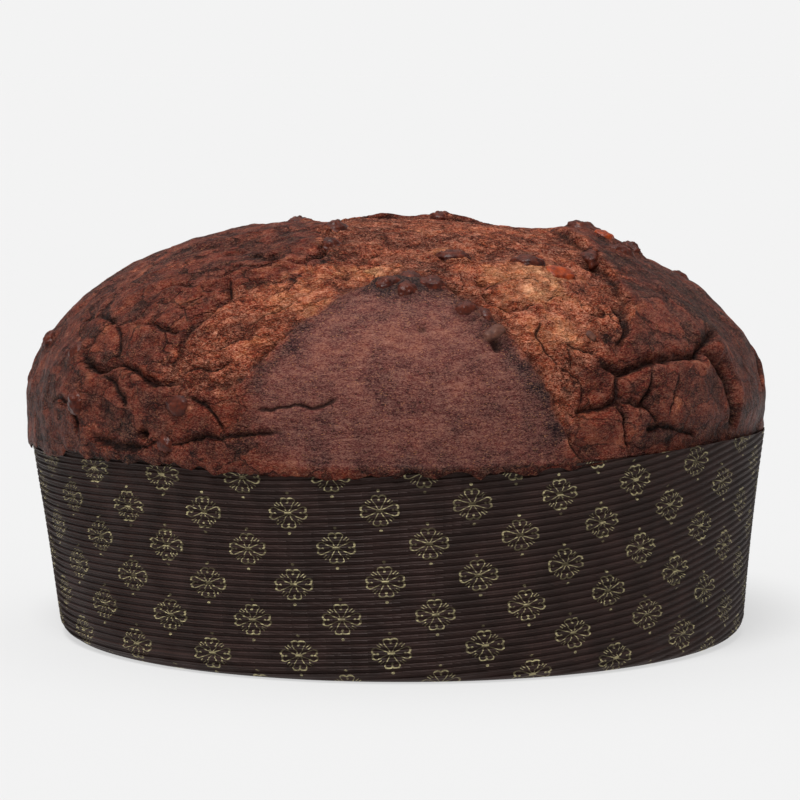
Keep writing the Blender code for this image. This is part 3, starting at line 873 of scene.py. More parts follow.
@dataclass(frozen=True)
class CrustFinish:
    """Baked cocoa dough: satin brown skin on the flaps, dry orange-brown crumb where it tore.

    The skin gets painted shade in its folds, is darkest at the flap's edge, and is greyer where it
    stayed smooth.
    Grains and crags make it lighter and darker, and sugar shows as sparse pale specks.
    """

    crazed_skin: tuple[tuple[float, str], ...] = ((0.0, "#33150f"), (0.3, "#4e2017"),
                                                  (0.6, "#723626"), (1.0, "#9a5a3f"))
    smooth_skin: tuple[tuple[float, str], ...] = ((0.0, "#2c171b"), (0.5, "#693e36"),
                                                  (1.0, "#9c6450"))
    crumb: tuple[tuple[float, str], ...] = ((0.0, "#461d14"), (0.35, "#743827"), (0.6, "#9a5238"),
                                            (0.8, "#b8724f"), (1.0, "#d0946c"))
    # Colour of the painted shade in folds, cracks, pores and hollows.
    hollow_shade: str = "#140806"
    grain_tint: str = "#ffc9ab"
    speck: str = "#a8744f"

    def build(self) -> bpy.types.Material:
        """Build the material.

        Returns:
            The material.
        """
        material, tree = new_material("baked_cocoa_crust")
        CrustNodes(self, partial(add_node, tree)).build()
        return material


@dataclass
class CrustNodes:
    """The crust's nodes, added in steps: each keeps in look what the later ones need."""

    finish: CrustFinish
    add: partial
    look: Look = field(default_factory=dict)

    def tear_edge(self) -> None:
        """Where the crumb lies bare: ragged by 2 mm at the flap, and in patches farther back."""
        add, look = self.add, self.look
        rag = add(NOISE, {"Vector": look["place"], "Scale": per_mm(3.0), "Detail": 4.0})
        patch = add(NOISE, {"Vector": look["place"], "Scale": per_mm(9.0), "Detail": 7.0,
                            "Roughness": 0.7})
        shift = add(MATH, {0: patch, 1: 0.5}, operation="SUBTRACT")
        spread = weigh(add, 9.0, (look["crazed"], 26.0))
        ragged = weigh(add, look["tear_gap"], (rag, 4.4), (shift, spread))
        # It fades over 7 mm into the smooth flap, and over 4 mm into broken skin.
        fade = weigh(add, 7.0, (look["crazed"], -3.2))
        torn = add(RANGE, {"Value": ragged, "From Min": -0.4, "From Max": fade},
                   interpolation_type="SMOOTHSTEP")
        rough_skin = add(MATH, {0: look["crazed"], 1: torn}, operation="MAXIMUM")
        look.update(patch=patch, shift=shift, torn=torn, rough_skin=rough_skin)

    def shards(self, width: float, edge: tuple[float, float]) -> tuple[bpy.types.Node, ...]:
        """Make ragged cells, and the gaps that part some of them.

        Args:
            width: Width of a cell, in millimetres.
            edge: Where a gap starts to close and has closed, as shares of a cell's width.

        Returns:
            The cells, and a node that is 1 in a gap.
        """
        add, look = self.add, self.look
        cell, rim = (add(VORONOI, {"Vector": look["strayed"], "Scale": per_mm(width)}, feature=kind)
                     for kind in ("F1", "DISTANCE_TO_EDGE"))
        split = add(RANGE, {"Value": rim, "From Min": edge[0], "From Max": edge[1], "To Min": 1.0,
                            "To Max": 0.0})
        return cell, add(MATH, {0: split, 1: look["open_here"]}, operation="MULTIPLY")

    def plates(self) -> None:
        """Broken skin and crumb in ragged plates 15 mm wide, and crumb in flakes of 5 mm."""
        add, look = self.add, self.look
        drawn = add("ShaderNodeMapping", {"Vector": look["place"], "Scale": (1.0, 1.0, 2.0)})
        stray = add(NOISE, {"Vector": look["place"], "Scale": per_mm(7.0), "Detail": 5.0,
                            "Roughness": 0.6})
        drift = add(VECTOR, {0: stray.outputs["Color"], 1: (0.5, 0.5, 0.5)}, operation="SUBTRACT")
        strayed = add(VECTOR, {0: drift, 1: (14.0 * MM,) * 3, 2: drawn},
                      operation="MULTIPLY_ADD")
        open_here = add(RANGE, {"Value": stray, "From Min": 0.42, "From Max": 0.5})
        look.update(drawn=drawn, strayed=strayed, open_here=open_here)
        # Each plate is tilted its own way.
        plate, cracked = self.shards(15.0, (0.006, 0.04))
        chance = add(VECTOR, {0: plate.outputs["Color"], 1: (0.5, 0.5, 0.5)},
                     operation="SUBTRACT")
        within = add(VECTOR, {0: strayed, 1: plate.outputs["Position"]}, operation="SUBTRACT")
        tilt = add(VECTOR, {0: within, 1: chance}, operation="DOT_PRODUCT").outputs["Value"]
        share = add(RANGE, {"Value": look["torn"], "To Min": 1.0, "To Max": 0.6})
        on_rough = add(MATH, {0: share, 1: look["rough_skin"]}, operation="MULTIPLY")
        flake, parted = self.shards(5.0, (0.0, 0.12))
        look.update(tilt=tilt, plate_tone=add("ShaderNodeSeparateXYZ", {0: chance}),
                    crack=add(MATH, {0: cracked, 1: on_rough}, operation="MULTIPLY"),
                    flake_tone=add("ShaderNodeSeparateXYZ", {0: flake.outputs["Color"]}),
                    flaked=add(MATH, {0: parted, 1: look["torn"]}, operation="MULTIPLY"))

    def textures(self) -> None:
        """Wrinkles, crags, streaks and grains, and the pores of the crumb."""
        add, look = self.add, self.look
        # Wrinkles lie a few millimetres apart and are sharp along their bottoms.
        wrinkle = add(NOISE, {"Vector": look["strayed"], "Scale": per_mm(12.0), "Detail": 3.0,
                              "Roughness": 0.5, "Offset": 1.0, "Gain": 2.0},
                      noise_type="RIDGED_MULTIFRACTAL")
        groove = add(RANGE, {"Value": wrinkle, "From Min": 1.25, "From Max": 1.8})
        crags = add(NOISE, {"Vector": look["drawn"], "Scale": per_mm(4.0), "Detail": 5.0,
                            "Roughness": 0.65, "Distortion": 0.6})
        micro = add(NOISE, {"Vector": look["drawn"], "Scale": per_mm(1.3), "Detail": 4.0,
                            "Roughness": 0.75})
        # Dough that rose stretched the smooth skin into level streaks about 1 mm high.
        level_way = add("ShaderNodeMapping", {"Vector": look["place"], "Scale": (1.0, 1.0, 4.5)})
        streak = add(NOISE, {"Vector": level_way, "Scale": per_mm(4.5), "Detail": 5.0,
                             "Roughness": 0.7})
        # Grains of crumb, a third of a millimetre wide.
        grit = add(VORONOI, {"Vector": look["drawn"], "Scale": per_mm(0.36)})
        grain = add("ShaderNodeSeparateXYZ", {0: grit.outputs["Color"]}).outputs
        # Gas left clusters of pores about a millimetre wide in the crumb.
        cell = add(VORONOI, {"Vector": look["place"], "Scale": per_mm(1.7)})
        pore = add(RANGE, {"Value": cell.outputs["Distance"], "From Min": 0.12, "From Max": 0.34,
                           "To Min": 1.0, "To Max": 0.0})
        airy = add(RANGE, {"Value": look["patch"], "From Min": 0.56, "From Max": 0.48,
                           "To Min": 0.0, "To Max": 0.8})
        open_pore = add(MATH, {0: pore, 1: airy}, operation="MULTIPLY")
        look.update(groove=groove, crags=crags, micro=micro, streak=streak, grain=grain["X"],
                    sweet=grain["Y"],
                    pores=add(MATH, {0: open_pore, 1: look["torn"]}, operation="MULTIPLY"))

    def tone_by_bake_and_light(self) -> None:
        """Colour that follows the bake with its painted light and shade, in patches of some
        millimetres and from plate to plate.
        """
        add, look, finish = self.add, self.look, self.finish
        shift, plate_tone = look["shift"], look["plate_tone"]
        # Ridges get a faint painted highlight here.
        broken = weigh(add, look["bake"], (look["worn"], 0.14), (shift, 1.7), (plate_tone, 0.3))
        smooth = weigh(add, look["bake"], (shift, 1.35), (1.0, -0.04))
        crumb = weigh(add, 0.4, (look["pale"], 0.42), (shift, 1.25), (plate_tone, 0.22))
        skin = add(MIX, {"Factor": look["crazed"],
                         "A": set_ramp(add(RAMP, {"Fac": smooth}), finish.smooth_skin),
                         "B": set_ramp(add(RAMP, {"Fac": broken}), finish.crazed_skin)},
                   data_type="RGBA")
        base = add(MIX, {"Factor": look["torn"], "A": skin.outputs["Result"],
                         "B": set_ramp(add(RAMP, {"Fac": crumb}), finish.crumb)}, data_type="RGBA")
        look["base"] = base.outputs["Result"]

    def grained(self) -> None:
        """Grains, crags and streaks, which change the tone and hardly the hue, and pale sugar."""
        add, look, finish = self.add, self.look, self.finish
        stretched = add(MATH, {0: 1.0, 1: look["rough_skin"]}, operation="SUBTRACT")
        # Each pattern's range, the most that it changes the tone, and where it shows.
        patterns = ((look["grain"], 0.0, 1.0, 0.5, 1.0), (look["micro"], 0.3, 0.7, 0.2, 1.0),
                    (look["streak"], 0.3, 0.7, 0.36, stretched),
                    (look["flake_tone"], 0.0, 1.0, 0.15, look["torn"]),
                    (look["crags"], 0.3, 0.7, 0.36, look["rough_skin"]))
        change = 0.0
        for pattern, low, high, most, shown in patterns:
            swing = add(RANGE, {"Value": pattern, "From Min": low, "From Max": high,
                                "To Min": -most, "To Max": most})
            change = weigh(add, change, (swing, shown))
        amount = add(RANGE, {"Value": look["torn"], "To Min": 0.14, "To Max": 0.36})
        lift = add(MATH, {0: change, 1: amount}, operation="MULTIPLY")
        lifted = add(VECTOR, {0: linear(finish.grain_tint)[:3], 1: lift, 2: look["base"]},
                     operation="MULTIPLY_ADD")
        least = add(VECTOR, {0: look["base"], "Scale": 0.28}, operation="SCALE")
        toned = add(VECTOR, {0: lifted, 1: least}, operation="MAXIMUM")
        sugar = add(RANGE, {"Value": look["sweet"], "From Min": 0.94, "From Max": 0.99,
                            "To Max": 0.5})
        tone = add(MIX, {"Factor": sugar, "A": toned, "B": linear(finish.speck)},
                   data_type="RGBA")
        look["tone"] = tone.outputs["Result"]

    def folded(self) -> None:
        """Paint shade into what lies deep: a fold closes to a fine dark line, a crack or a pore is
        shaded less.
        """
        add, look = self.add, self.look
        across = add(MATH, {0: look["fold_side"]}, operation="ABSOLUTE")
        line = add(RANGE, {"Value": across, "From Min": 0.1, "From Max": 0.7, "To Min": 1.0,
                           "To Max": 0.0}, interpolation_type="SMOOTHSTEP")
        # A fine painted line of shade along each fold and flap edge.
        closed = add(MATH, {0: line, 1: look["fold_near"]}, operation="MULTIPLY")
        creased = add(MATH, {0: look["groove"], 1: look["rough_skin"]}, operation="MULTIPLY")
        dark = add(MATH, {0: closed, 1: look["cleft"]}, operation="MAXIMUM", use_clamp=True)
        # Cracks, pores, wrinkle bottoms and gaps between flakes get painted shade too.
        for pattern, strength in ((look["crack"], 0.75), (look["pores"], 0.75), (creased, 0.4),
                                  (look["flaked"], 0.45)):
            weaker = add(MATH, {0: pattern, 1: strength}, operation="MULTIPLY")
            dark = add(MATH, {0: dark, 1: weaker}, operation="MAXIMUM", use_clamp=True)
        # Hollows of the relief get painted shade.
        low = add(RANGE, {"Value": look["worn"], "From Min": -0.15, "From Max": -1.0,
                          "To Max": 0.35})
        deep = add(MATH, {0: dark, 1: 0.85}, operation="MULTIPLY")
        colour = look["tone"]
        for factor in (low, deep):
            colour = add(MIX, {"Factor": factor, "A": colour, "B": linear(self.finish.hollow_shade)},
                         data_type="RGBA").outputs["Result"]
        look.update(closed=closed, colour=colour)

    def relief(self) -> bpy.types.Node:
        """Fine relief in millimetres: broken skin and crumb first, then what lies all over.

        Returns:
            A node with the height at each place.
        """
        add, look = self.add, self.look
        broken = weigh(add, 0.0, (look["tilt"], 0.45 / MM), (look["crags"], 2.6),
                       (look["groove"], -1.0), (look["crack"], -0.8), (look["flaked"], -0.5))
        return weigh(add, 0.0, (broken, look["rough_skin"]), (look["micro"], 0.6),
                     (look["pores"], -0.4), (look["closed"], -0.6))

    def build(self) -> None:
        """Add all nodes, from the marks that the mesh carries to the output."""
        add, look = self.add, self.look
        for name in ("tear_gap", "fold_side", "fold_near", "cleft", "pale", "crazed", "bake",
                     "worn"):
            look[name] = add("ShaderNodeAttribute", attribute_name=name).outputs["Fac"]
        look["place"] = add("ShaderNodeTexCoord").outputs["Object"]
        for step in (self.tear_edge, self.plates, self.textures, self.tone_by_bake_and_light, self.grained,
                     self.folded):
            step()
        rough = add(RANGE, {"Value": look["torn"], "To Min": 0.5, "To Max": 0.75})
        bump = add(BUMP, {"Height": self.relief(), "Strength": 1.0, "Distance": 1.0 * MM})
        shader = add(BSDF, {"Base Color": look["colour"], "Roughness": rough, "Normal": bump,
                            "Specular IOR Level": 0.1})
        add("ShaderNodeOutputMaterial", {"Surface": shader})


@dataclass(frozen=True)
class FruitFinish:
    """Dried or candied fruit: a sticky, slightly clear skin over dark flesh."""

    name: str
    dark: str
    light: str
    edge: str
    roughness: float
    subsurface: float

    def build(self) -> bpy.types.Material:
        """Build the material.

        Returns:
            The material.
        """
        material, tree = new_material(self.name)
        add = partial(add_node, tree)
        place = add("ShaderNodeTexCoord").outputs["Object"]
        flesh = add(NOISE, {"Vector": place, "Scale": per_mm(2.5), "Detail": 5.0,
                            "Roughness": 0.65})
        colour = set_ramp(add(RAMP, {"Fac": flesh}),
                          ((0.34, self.dark), (0.62, self.light), (0.8, self.edge)))
        bump = add(BUMP, {"Height": flesh, "Strength": 0.5, "Distance": 0.6 * MM})
        shader = add(BSDF, {"Base Color": colour, "Roughness": self.roughness, "Normal": bump,
                            "Specular IOR Level": 0.16, "Subsurface Weight": self.subsurface,
                            "Subsurface Radius": (3.0 * MM, 1.2 * MM, 0.6 * MM),
                            "Subsurface Scale": 1.0})
        add("ShaderNodeOutputMaterial", {"Surface": shader})
        return material


FRUIT_FINISHES = {
    FruitKind.RAISIN: FruitFinish("dried_raisin_skin", "#2a0e0a", "#562416", "#97522f", 0.3, 0.08),
    FruitKind.ORANGE: FruitFinish("candied_orange_peel", "#5a1d0c", "#9a3f18", "#c2682c", 0.32, 0.1),
    FruitKind.CITRON: FruitFinish("candied_citron_peel", "#3a1f19", "#5d3a2e", "#8a6a55", 0.45, 0.05),
}


@dataclass(frozen=True)
class PaperFinish:
    """Greaseproof baking paper: dark brown satin, printed all over in pale gold ink.

    The blossoms stand in two sets, each halfway between the other's columns and rows. Fluting
    shortened them upwards, so they are drawn four-fold and squeezed.
    """

    paper: str = "#281a16"
    paper_light: str = "#362420"
    ink: str = "#b0a57c"
    column_run: float = 25.1 * MM
    row_run: float = 20.15 * MM
    # Where one blossom's middle lies on the printed strip.
    start: tuple[float, float] = (0.0, 46.1 * MM)
    squeeze: float = 0.83

    def blossom_place(self, tree: bpy.types.NodeTree) -> bpy.types.Node:
        """Fold the printed strip into one quarter of a blossom.

        Args:
            tree: The material's tree.

        Returns:
            A node with the distances from the nearest blossom's middle, in millimetres.
        """
        add = partial(add_node, tree)
        strip = add("ShaderNodeUVMap", uv_map="print_map")
        corner = (0.5 * self.column_run, 0.5 * self.row_run, 1.0)
        cells = []
        for share in (0.0, 1.0):
            origin = (self.start[0] + share * corner[0], self.start[1] + share * corner[1], 0.0)
            moved = add(VECTOR, {0: strip, 1: origin}, operation="SUBTRACT")
            cells.append(add(VECTOR, {0: moved, 1: corner, 2: tuple(-c for c in corner)},
                             operation="WRAP"))
        away = [add(VECTOR, {0: cell}, operation="LENGTH") for cell in cells]
        second = add(MATH, {0: away[1], 1: away[0]}, operation="LESS_THAN")
        nearest = add(MIX, {"Factor": second, "A": cells[0].outputs["Vector"],
                            "B": cells[1].outputs["Vector"]}, data_type="VECTOR")
        flat = add(VECTOR, {0: nearest.outputs["Result"],
                            1: (1.0 / MM, 1.0 / (MM * self.squeeze), 0.0)}, operation="MULTIPLY")
        return add(VECTOR, {0: flat}, operation="ABSOLUTE")

    def ink_mask(self, tree: bpy.types.NodeTree) -> bpy.types.Node:
        """Draw the blossom of the print: four heart petals, strokes and dots.

        Args:
            tree: The material's tree.

        Returns:
            A node that is 1 on ink and 0 on bare paper.
        """
        add = partial(add_node, tree)
        quarter = self.blossom_place(tree)
        parts = add("ShaderNodeSeparateXYZ", {0: quarter})
        out = add(MATH, {0: parts.outputs["X"], 1: parts.outputs["Y"]}, operation="MAXIMUM")
        aside = add(MATH, {0: parts.outputs["X"], 1: parts.outputs["Y"]}, operation="MINIMUM")
        petal = add("ShaderNodeCombineXYZ", {"X": aside, "Y": out})

        def stripe(way: tuple[float, float, float], middle: float,
                   half: float | bpy.types.Node) -> bpy.types.Node:
            """A band across a direction, half wide on each side of its middle."""
            reach = add(VECTOR, {0: petal, 1: way}, operation="DOT_PRODUCT")
            return add(MATH, {0: reach, 1: middle, 2: half}, operation="COMPARE")

        def ring(middle: tuple[float, float, float], radius: float,
                 half: float | bpy.types.Node) -> bpy.types.Node:
            """A ring, or a dot where the radius is 0."""
            reach = add(VECTOR, {0: petal, 1: middle}, operation="DISTANCE")
            return add(MATH, {0: reach, 1: radius, 2: half}, operation="COMPARE")

        # The pen presses hardest at the top of each lobe.
        pressed = add(RANGE, {"Value": out, "From Min": 3.9, "From Max": 5.2, "To Min": 0.12,
                              "To Max": 0.3})
        lobe = add(MATH, {0: ring((0.96, 4.05, 0.0), 1.0, pressed),
                          1: stripe((0.35, 1.0, 0.0), 6.1, 1.9)}, operation="MULTIPLY")
        side = add(MATH, {0: stripe((0.9, -0.44, 0.0), 0.04, 0.14),
                          1: stripe((0.44, 0.9, 0.0), 2.6, 1.8)}, operation="MULTIPLY")
        stroke = add(MATH, {0: stripe((-0.707, 0.707, 0.0), 0.4, 0.13),
                            1: stripe((0.707, 0.707, 0.0), 4.15, 0.7)}, operation="MULTIPLY")
        notch = ring((0.0, 3.65, 0.0), 0.0, 0.36)
        bow = add(VECTOR, {0: quarter, 1: (0.9, 1.5, 0.0)}, operation="MULTIPLY")
        middle = add(MATH, {0: add(VECTOR, {0: bow}, operation="LENGTH"), 1: 0.9},
                     operation="LESS_THAN")
        apart = add(VECTOR, {0: quarter, 1: (0.0, 6.8, 0.0)}, operation="DISTANCE")
        dot = add(MATH, {0: apart, 1: 0.46}, operation="LESS_THAN")
        drawn = lobe
        for shape in (side, stroke, notch, middle, dot):
            drawn = add(MATH, {0: drawn, 1: shape}, operation="MAXIMUM")
        return drawn

    def build(self) -> bpy.types.Material:
        """Build the material.

        Returns:
            The material.
        """
        material, tree = new_material("greaseproof_baking_paper")
        add = partial(add_node, tree)
        place = add("ShaderNodeTexCoord").outputs["Object"]
        fibre = add(NOISE, {"Vector": place, "Scale": per_mm(9.0), "Detail": 4.0})
        sheet = set_ramp(add(RAMP, {"Fac": fibre}), ((0.35, self.paper), (0.7, self.paper_light)))
        # The ink took unevenly, and it fades in the flutes' valleys as painted shade.
        wear = add(NOISE, {"Vector": place, "Scale": per_mm(1.3), "Detail": 2.0})
        took = add(RANGE, {"Value": wear, "From Min": 0.35, "From Max": 0.6, "To Min": 0.35,
                           "To Max": 0.95})
        crest = add("ShaderNodeAttribute", attribute_name="crest")
        shown = add(RANGE, {"Value": crest.outputs["Fac"], "From Min": 0.1, "From Max": 0.7,
                            "To Min": 0.35, "To Max": 1.0})
        held = add(MATH, {0: took, 1: shown}, operation="MULTIPLY")
        ink = add(MATH, {0: self.ink_mask(tree), 1: held}, operation="MULTIPLY")
        colour = add(MIX, {"Factor": ink, "A": sheet, "B": linear(self.ink)}, data_type="RGBA")
        tooth = add(NOISE, {"Vector": place, "Scale": per_mm(0.6), "Detail": 3.0})
        bump = add(BUMP, {"Height": tooth, "Strength": 0.3, "Distance": 0.12 * MM})
        shader = add(BSDF, {"Base Color": colour.outputs["Result"], "Roughness": 0.58,
                            "Normal": bump, "Specular IOR Level": 0.22})
        add("ShaderNodeOutputMaterial", {"Surface": shader})
        return material


def zip_rings(first: list[int], first_turn: np.ndarray, second: list[int],
              second_turn: np.ndarray) -> list[tuple[int, int, int]]:
    """Join two rings that have different numbers of points, both in order of azimuth.

    Args:
        first: Vertex indices of the upper ring.
        first_turn: Their azimuths, from 0 to a full turn.
        second: Vertex indices of the lower ring.
        second_turn: Their azimuths.

    Returns:
        The triangles between them.
    """
    turn_a = list(first_turn) + [2.0 * math.pi]
    turn_b = list(second_turn) + [2.0 * math.pi]
    faces = []
    i = 0
    j = 0
    while i < len(first) or j < len(second):
        a = first[i % len(first)]
        b = second[j % len(second)]
        next_a = turn_a[i + 1] if i < len(first) else math.inf
        next_b = turn_b[j + 1] if j < len(second) else math.inf
        if next_a <= next_b:
            faces.append((a, first[(i + 1) % len(first)], b))
            i += 1
        else:
            faces.append((a, second[(j + 1) % len(second)], b))
            j += 1
    return faces


@dataclass
class Loaf:
    """The loaf: its domed crust, its lip over the case's rim, and the body inside the case."""

    crown: Crown
    case: CaseForm
    cells: int = 300
    front_bias: float = 0.14
    fit_gap: float = 0.35 * MM
    body_sides: int = 120
    # The lip hangs over the rim at the front and left, and sits inside the paper to the right:
    # azimuth and spread in degrees.
    tucked: tuple[tuple[float, float], ...] = ((58.0, 30.0), (150.0, 34.0), (-150.0, 20.0))
    lip_hang: float = 1.7 * MM
    relief: CrustRelief = field(init=False)

    def __post_init__(self) -> None:
        """Make the relief that the crown carries."""
        self.relief = CrustRelief(self.crown)

    def tuck(self, azimuth: np.ndarray) -> np.ndarray:
        """How far the lip is tucked inside the paper, from 0 to 1.

        Args:
            azimuth: From the front, in radians.

        Returns:
            One value for each azimuth.
        """
        share = np.zeros(np.shape(azimuth))
        for centre, spread in self.tucked:
            away = np.abs(degrees_from(azimuth, centre))
            share = np.maximum(share, ease(1.35 - away / spread))
        return share

    def skin_grid(self) -> np.ndarray:
        """Places of a square grid drawn round into the disc of the skin, denser in front.

        Returns:
            The places, row by row, in metres.
        """
        step = np.linspace(-1.0, 1.0, self.cells + 1)
        u, v = np.meshgrid(step, step)
        wide = np.abs(u) > np.abs(v)
        ring = np.where(wide, u, v)
        other = np.where(wide, v, u)
        turn = (math.pi / 4.0) * np.divide(other, ring, out=np.zeros_like(ring), where=ring != 0)
        x = np.where(wide, ring * np.cos(turn), ring * np.sin(turn))
        y = np.where(wide, ring * np.sin(turn), ring * np.cos(turn))
        y = y + self.front_bias * (1.0 - x ** 2 - y ** 2)
        return np.column_stack((x.ravel(), y.ravel())) * self.crown.reach

    def build(self) -> bpy.types.Object:
        """Build the loaf's mesh with its masks.

        Returns:
            The loaf as one closed mesh.
        """
        skin = self.skin_grid()
        marks = self.relief.evaluate(skin)
        azimuth = np.arctan2(skin[:, 0], skin[:, 1])
        below = self.crown.reach - np.hypot(skin[:, 0], skin[:, 1])
        # At the rim the relief is held between the paper and the loaf's stated width.
        height = np.clip(marks.pop("height"), -0.4 * MM - 0.4 * below,
                         0.27 * MM + 0.03 * below + 5.0 * below ** 2)
        # Ridges and hollows of the relief, for a painted highlight on ridges and painted shade in
        # hollows.
        marks["worn"] = self.stand_out(height)
        inward = self.tuck(azimuth) * ease(1.0 - below / (11.0 * MM))
        lift = height - 2.6 * MM * inward
        points = self.crown.point(skin) + self.crown.normal(skin) * lift[:, None]

        row = self.cells + 1
        index = np.arange(row * row).reshape(row, row)
        quads = np.stack((index[:-1, :-1], index[:-1, 1:], index[1:, 1:], index[1:, :-1]), axis=-1)
        faces = [tuple(q) for q in quads.reshape(-1, 4)]
        border = np.concatenate((index[0, :-1], index[:-1, -1], index[-1, :0:-1], index[:0:-1, 0]))
        turns = azimuth[border] % (2.0 * math.pi)
        order = np.argsort(turns)
        border = border[order]
        turns = turns[order]

        # Rings go down round the lip and the body, to one point under the middle.
        lip = self.lip_rings(turns, points[border])
        body_turns = 2.0 * math.pi * np.arange(self.body_sides) / self.body_sides
        below_crown = lip + self.body_rings(body_turns)
        under = np.array(((0.0, 0.0, self.case.floor + self.fit_gap),))
        rings = [list(border)]
        count = len(points)
        for ring in below_crown:
            rings.append(list(range(count, count + len(ring))))
            count += len(ring)
        for number, (upper, lower) in enumerate(zip(rings, rings[1:])):
            if number == len(lip):
                faces += zip_rings(upper, turns, lower, body_turns)
            else:
                faces += ring_band(upper, lower)
        last = rings[-1]
        faces += [(last[i], last[(i + 1) % len(last)], count) for i in range(len(last))]

        item = mesh_object("loaf", np.vstack((points, *below_crown, under)), faces)
        turn_outwards(item)
        spare = count + 1 - len(points)
        for name, values in marks.items():
            rest = -6.0 if name == "tear_gap" else float(np.median(values))
            store(item, name, np.concatenate((values, np.full(spare, rest))))
        return item

    def stand_out(self, height: np.ndarray) -> np.ndarray:
        """How far each place stands above those round it: 1 on ridges and -1 in hollows.

        Args:
            height: Relief at each place of the grid, in metres.

        Returns:
            One value for each place.
        """
        grid = height.reshape(self.cells + 1, self.cells + 1)
        mean = grid
        for axis in (0, 1):
            mean = np.mean([np.roll(mean, k, axis=axis) for k in range(-3, 4)], axis=0)
        return np.clip((grid - mean) / (0.45 * MM), -1.0, 1.0).ravel()

    def lip_rings(self, turns: np.ndarray, edge: np.ndarray) -> list[np.ndarray]:
        """Rings of the lip below the crown's edge: over the rim, or tucked inside the paper.

        Args:
            turns: Azimuths of the edge's points.
            edge: The crown's edge.

        Returns:
            Rings of points from the outside down and round to the inside of the paper.
        """
        rim = self.case.rim.height(turns)
        tuck = self.tuck(turns)
        side = np.column_stack((np.sin(turns), -np.cos(turns)))
        scallop = fractal(side * self.crown.radius, 8.0 * MM, 3, 5.0)
        hang = self.lip_hang * np.clip(1.0 + 1.1 * scallop, 0.35, 2.4)
        outer = np.hypot(edge[:, 0] - self.crown.shift, edge[:, 1])
        paper = self.case.rim_radius
        # Radius and height of each ring where the lip hangs over, and where it is tucked in.
        hung = ((outer, np.minimum(edge[:, 2], rim + 0.5 * MM) - 0.3 * MM),
                (outer - 0.25 * MM, rim - hang + 0.5 * MM),
                (outer - 0.7 * MM, rim - hang),
                (paper + 0.25 * MM, rim - hang + 0.35 * MM),
                (paper + 0.2 * MM, rim + 0.3 * MM),
                (paper - 2.2 * MM, rim + 0.25 * MM))
        inside = paper - self.case.wall - 0.5 * MM
        held = ((outer, edge[:, 2] - 0.3 * MM),
                (0.5 * (outer + inside), np.minimum(edge[:, 2] - 0.6 * MM, rim + 0.7 * MM)),
                (inside + 0.1 * MM, rim - 0.1 * MM),
                (inside, rim - 0.5 * MM),
                (inside - 0.1 * MM, rim - 0.9 * MM),
                (inside - 0.2 * MM, rim - 1.2 * MM))
        rings = []
        for (hung_radius, hung_height), (held_radius, held_height) in zip(hung, held):
            radius = hung_radius + (held_radius - hung_radius) * tuck
            height = hung_height + (held_height - hung_height) * tuck
            rings.append(np.column_stack((self.crown.shift + radius * side[:, 0],
                                          radius * side[:, 1], height)))
        return rings

    def body_rings(self, turns: np.ndarray) -> list[np.ndarray]:
        """Rings of the straight body inside the case, from the rim to its flat underside.

        Args:
            turns: Azimuths of each ring's points.

        Returns:
            Rings of points from the top down.
        """
        clear = self.case.wall + 0.7 * MM
        foot_share = self.case.corner / self.case.rim.level
        top = self.case.point(turns, 1.0, clear)
        top[:, 2] -= 1.6 * MM
        foot = self.case.point(turns, foot_share, clear)
        radius = self.case.base_radius - self.case.corner - clear - 4.0 * MM
        level = np.full(len(turns), self.case.floor + self.fit_gap)
        under = np.column_stack((radius * np.sin(turns), -radius * np.cos(turns), level))
        return [top, foot, under]

    def dress(self, item: bpy.types.Object) -> None:
        """Give the loaf its finish, its body and its place in the frame.

        Args:
            item: The loaf.
        """
        item.data.materials.append(CrustFinish().build())
        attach(item, "root")
        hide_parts("bread")


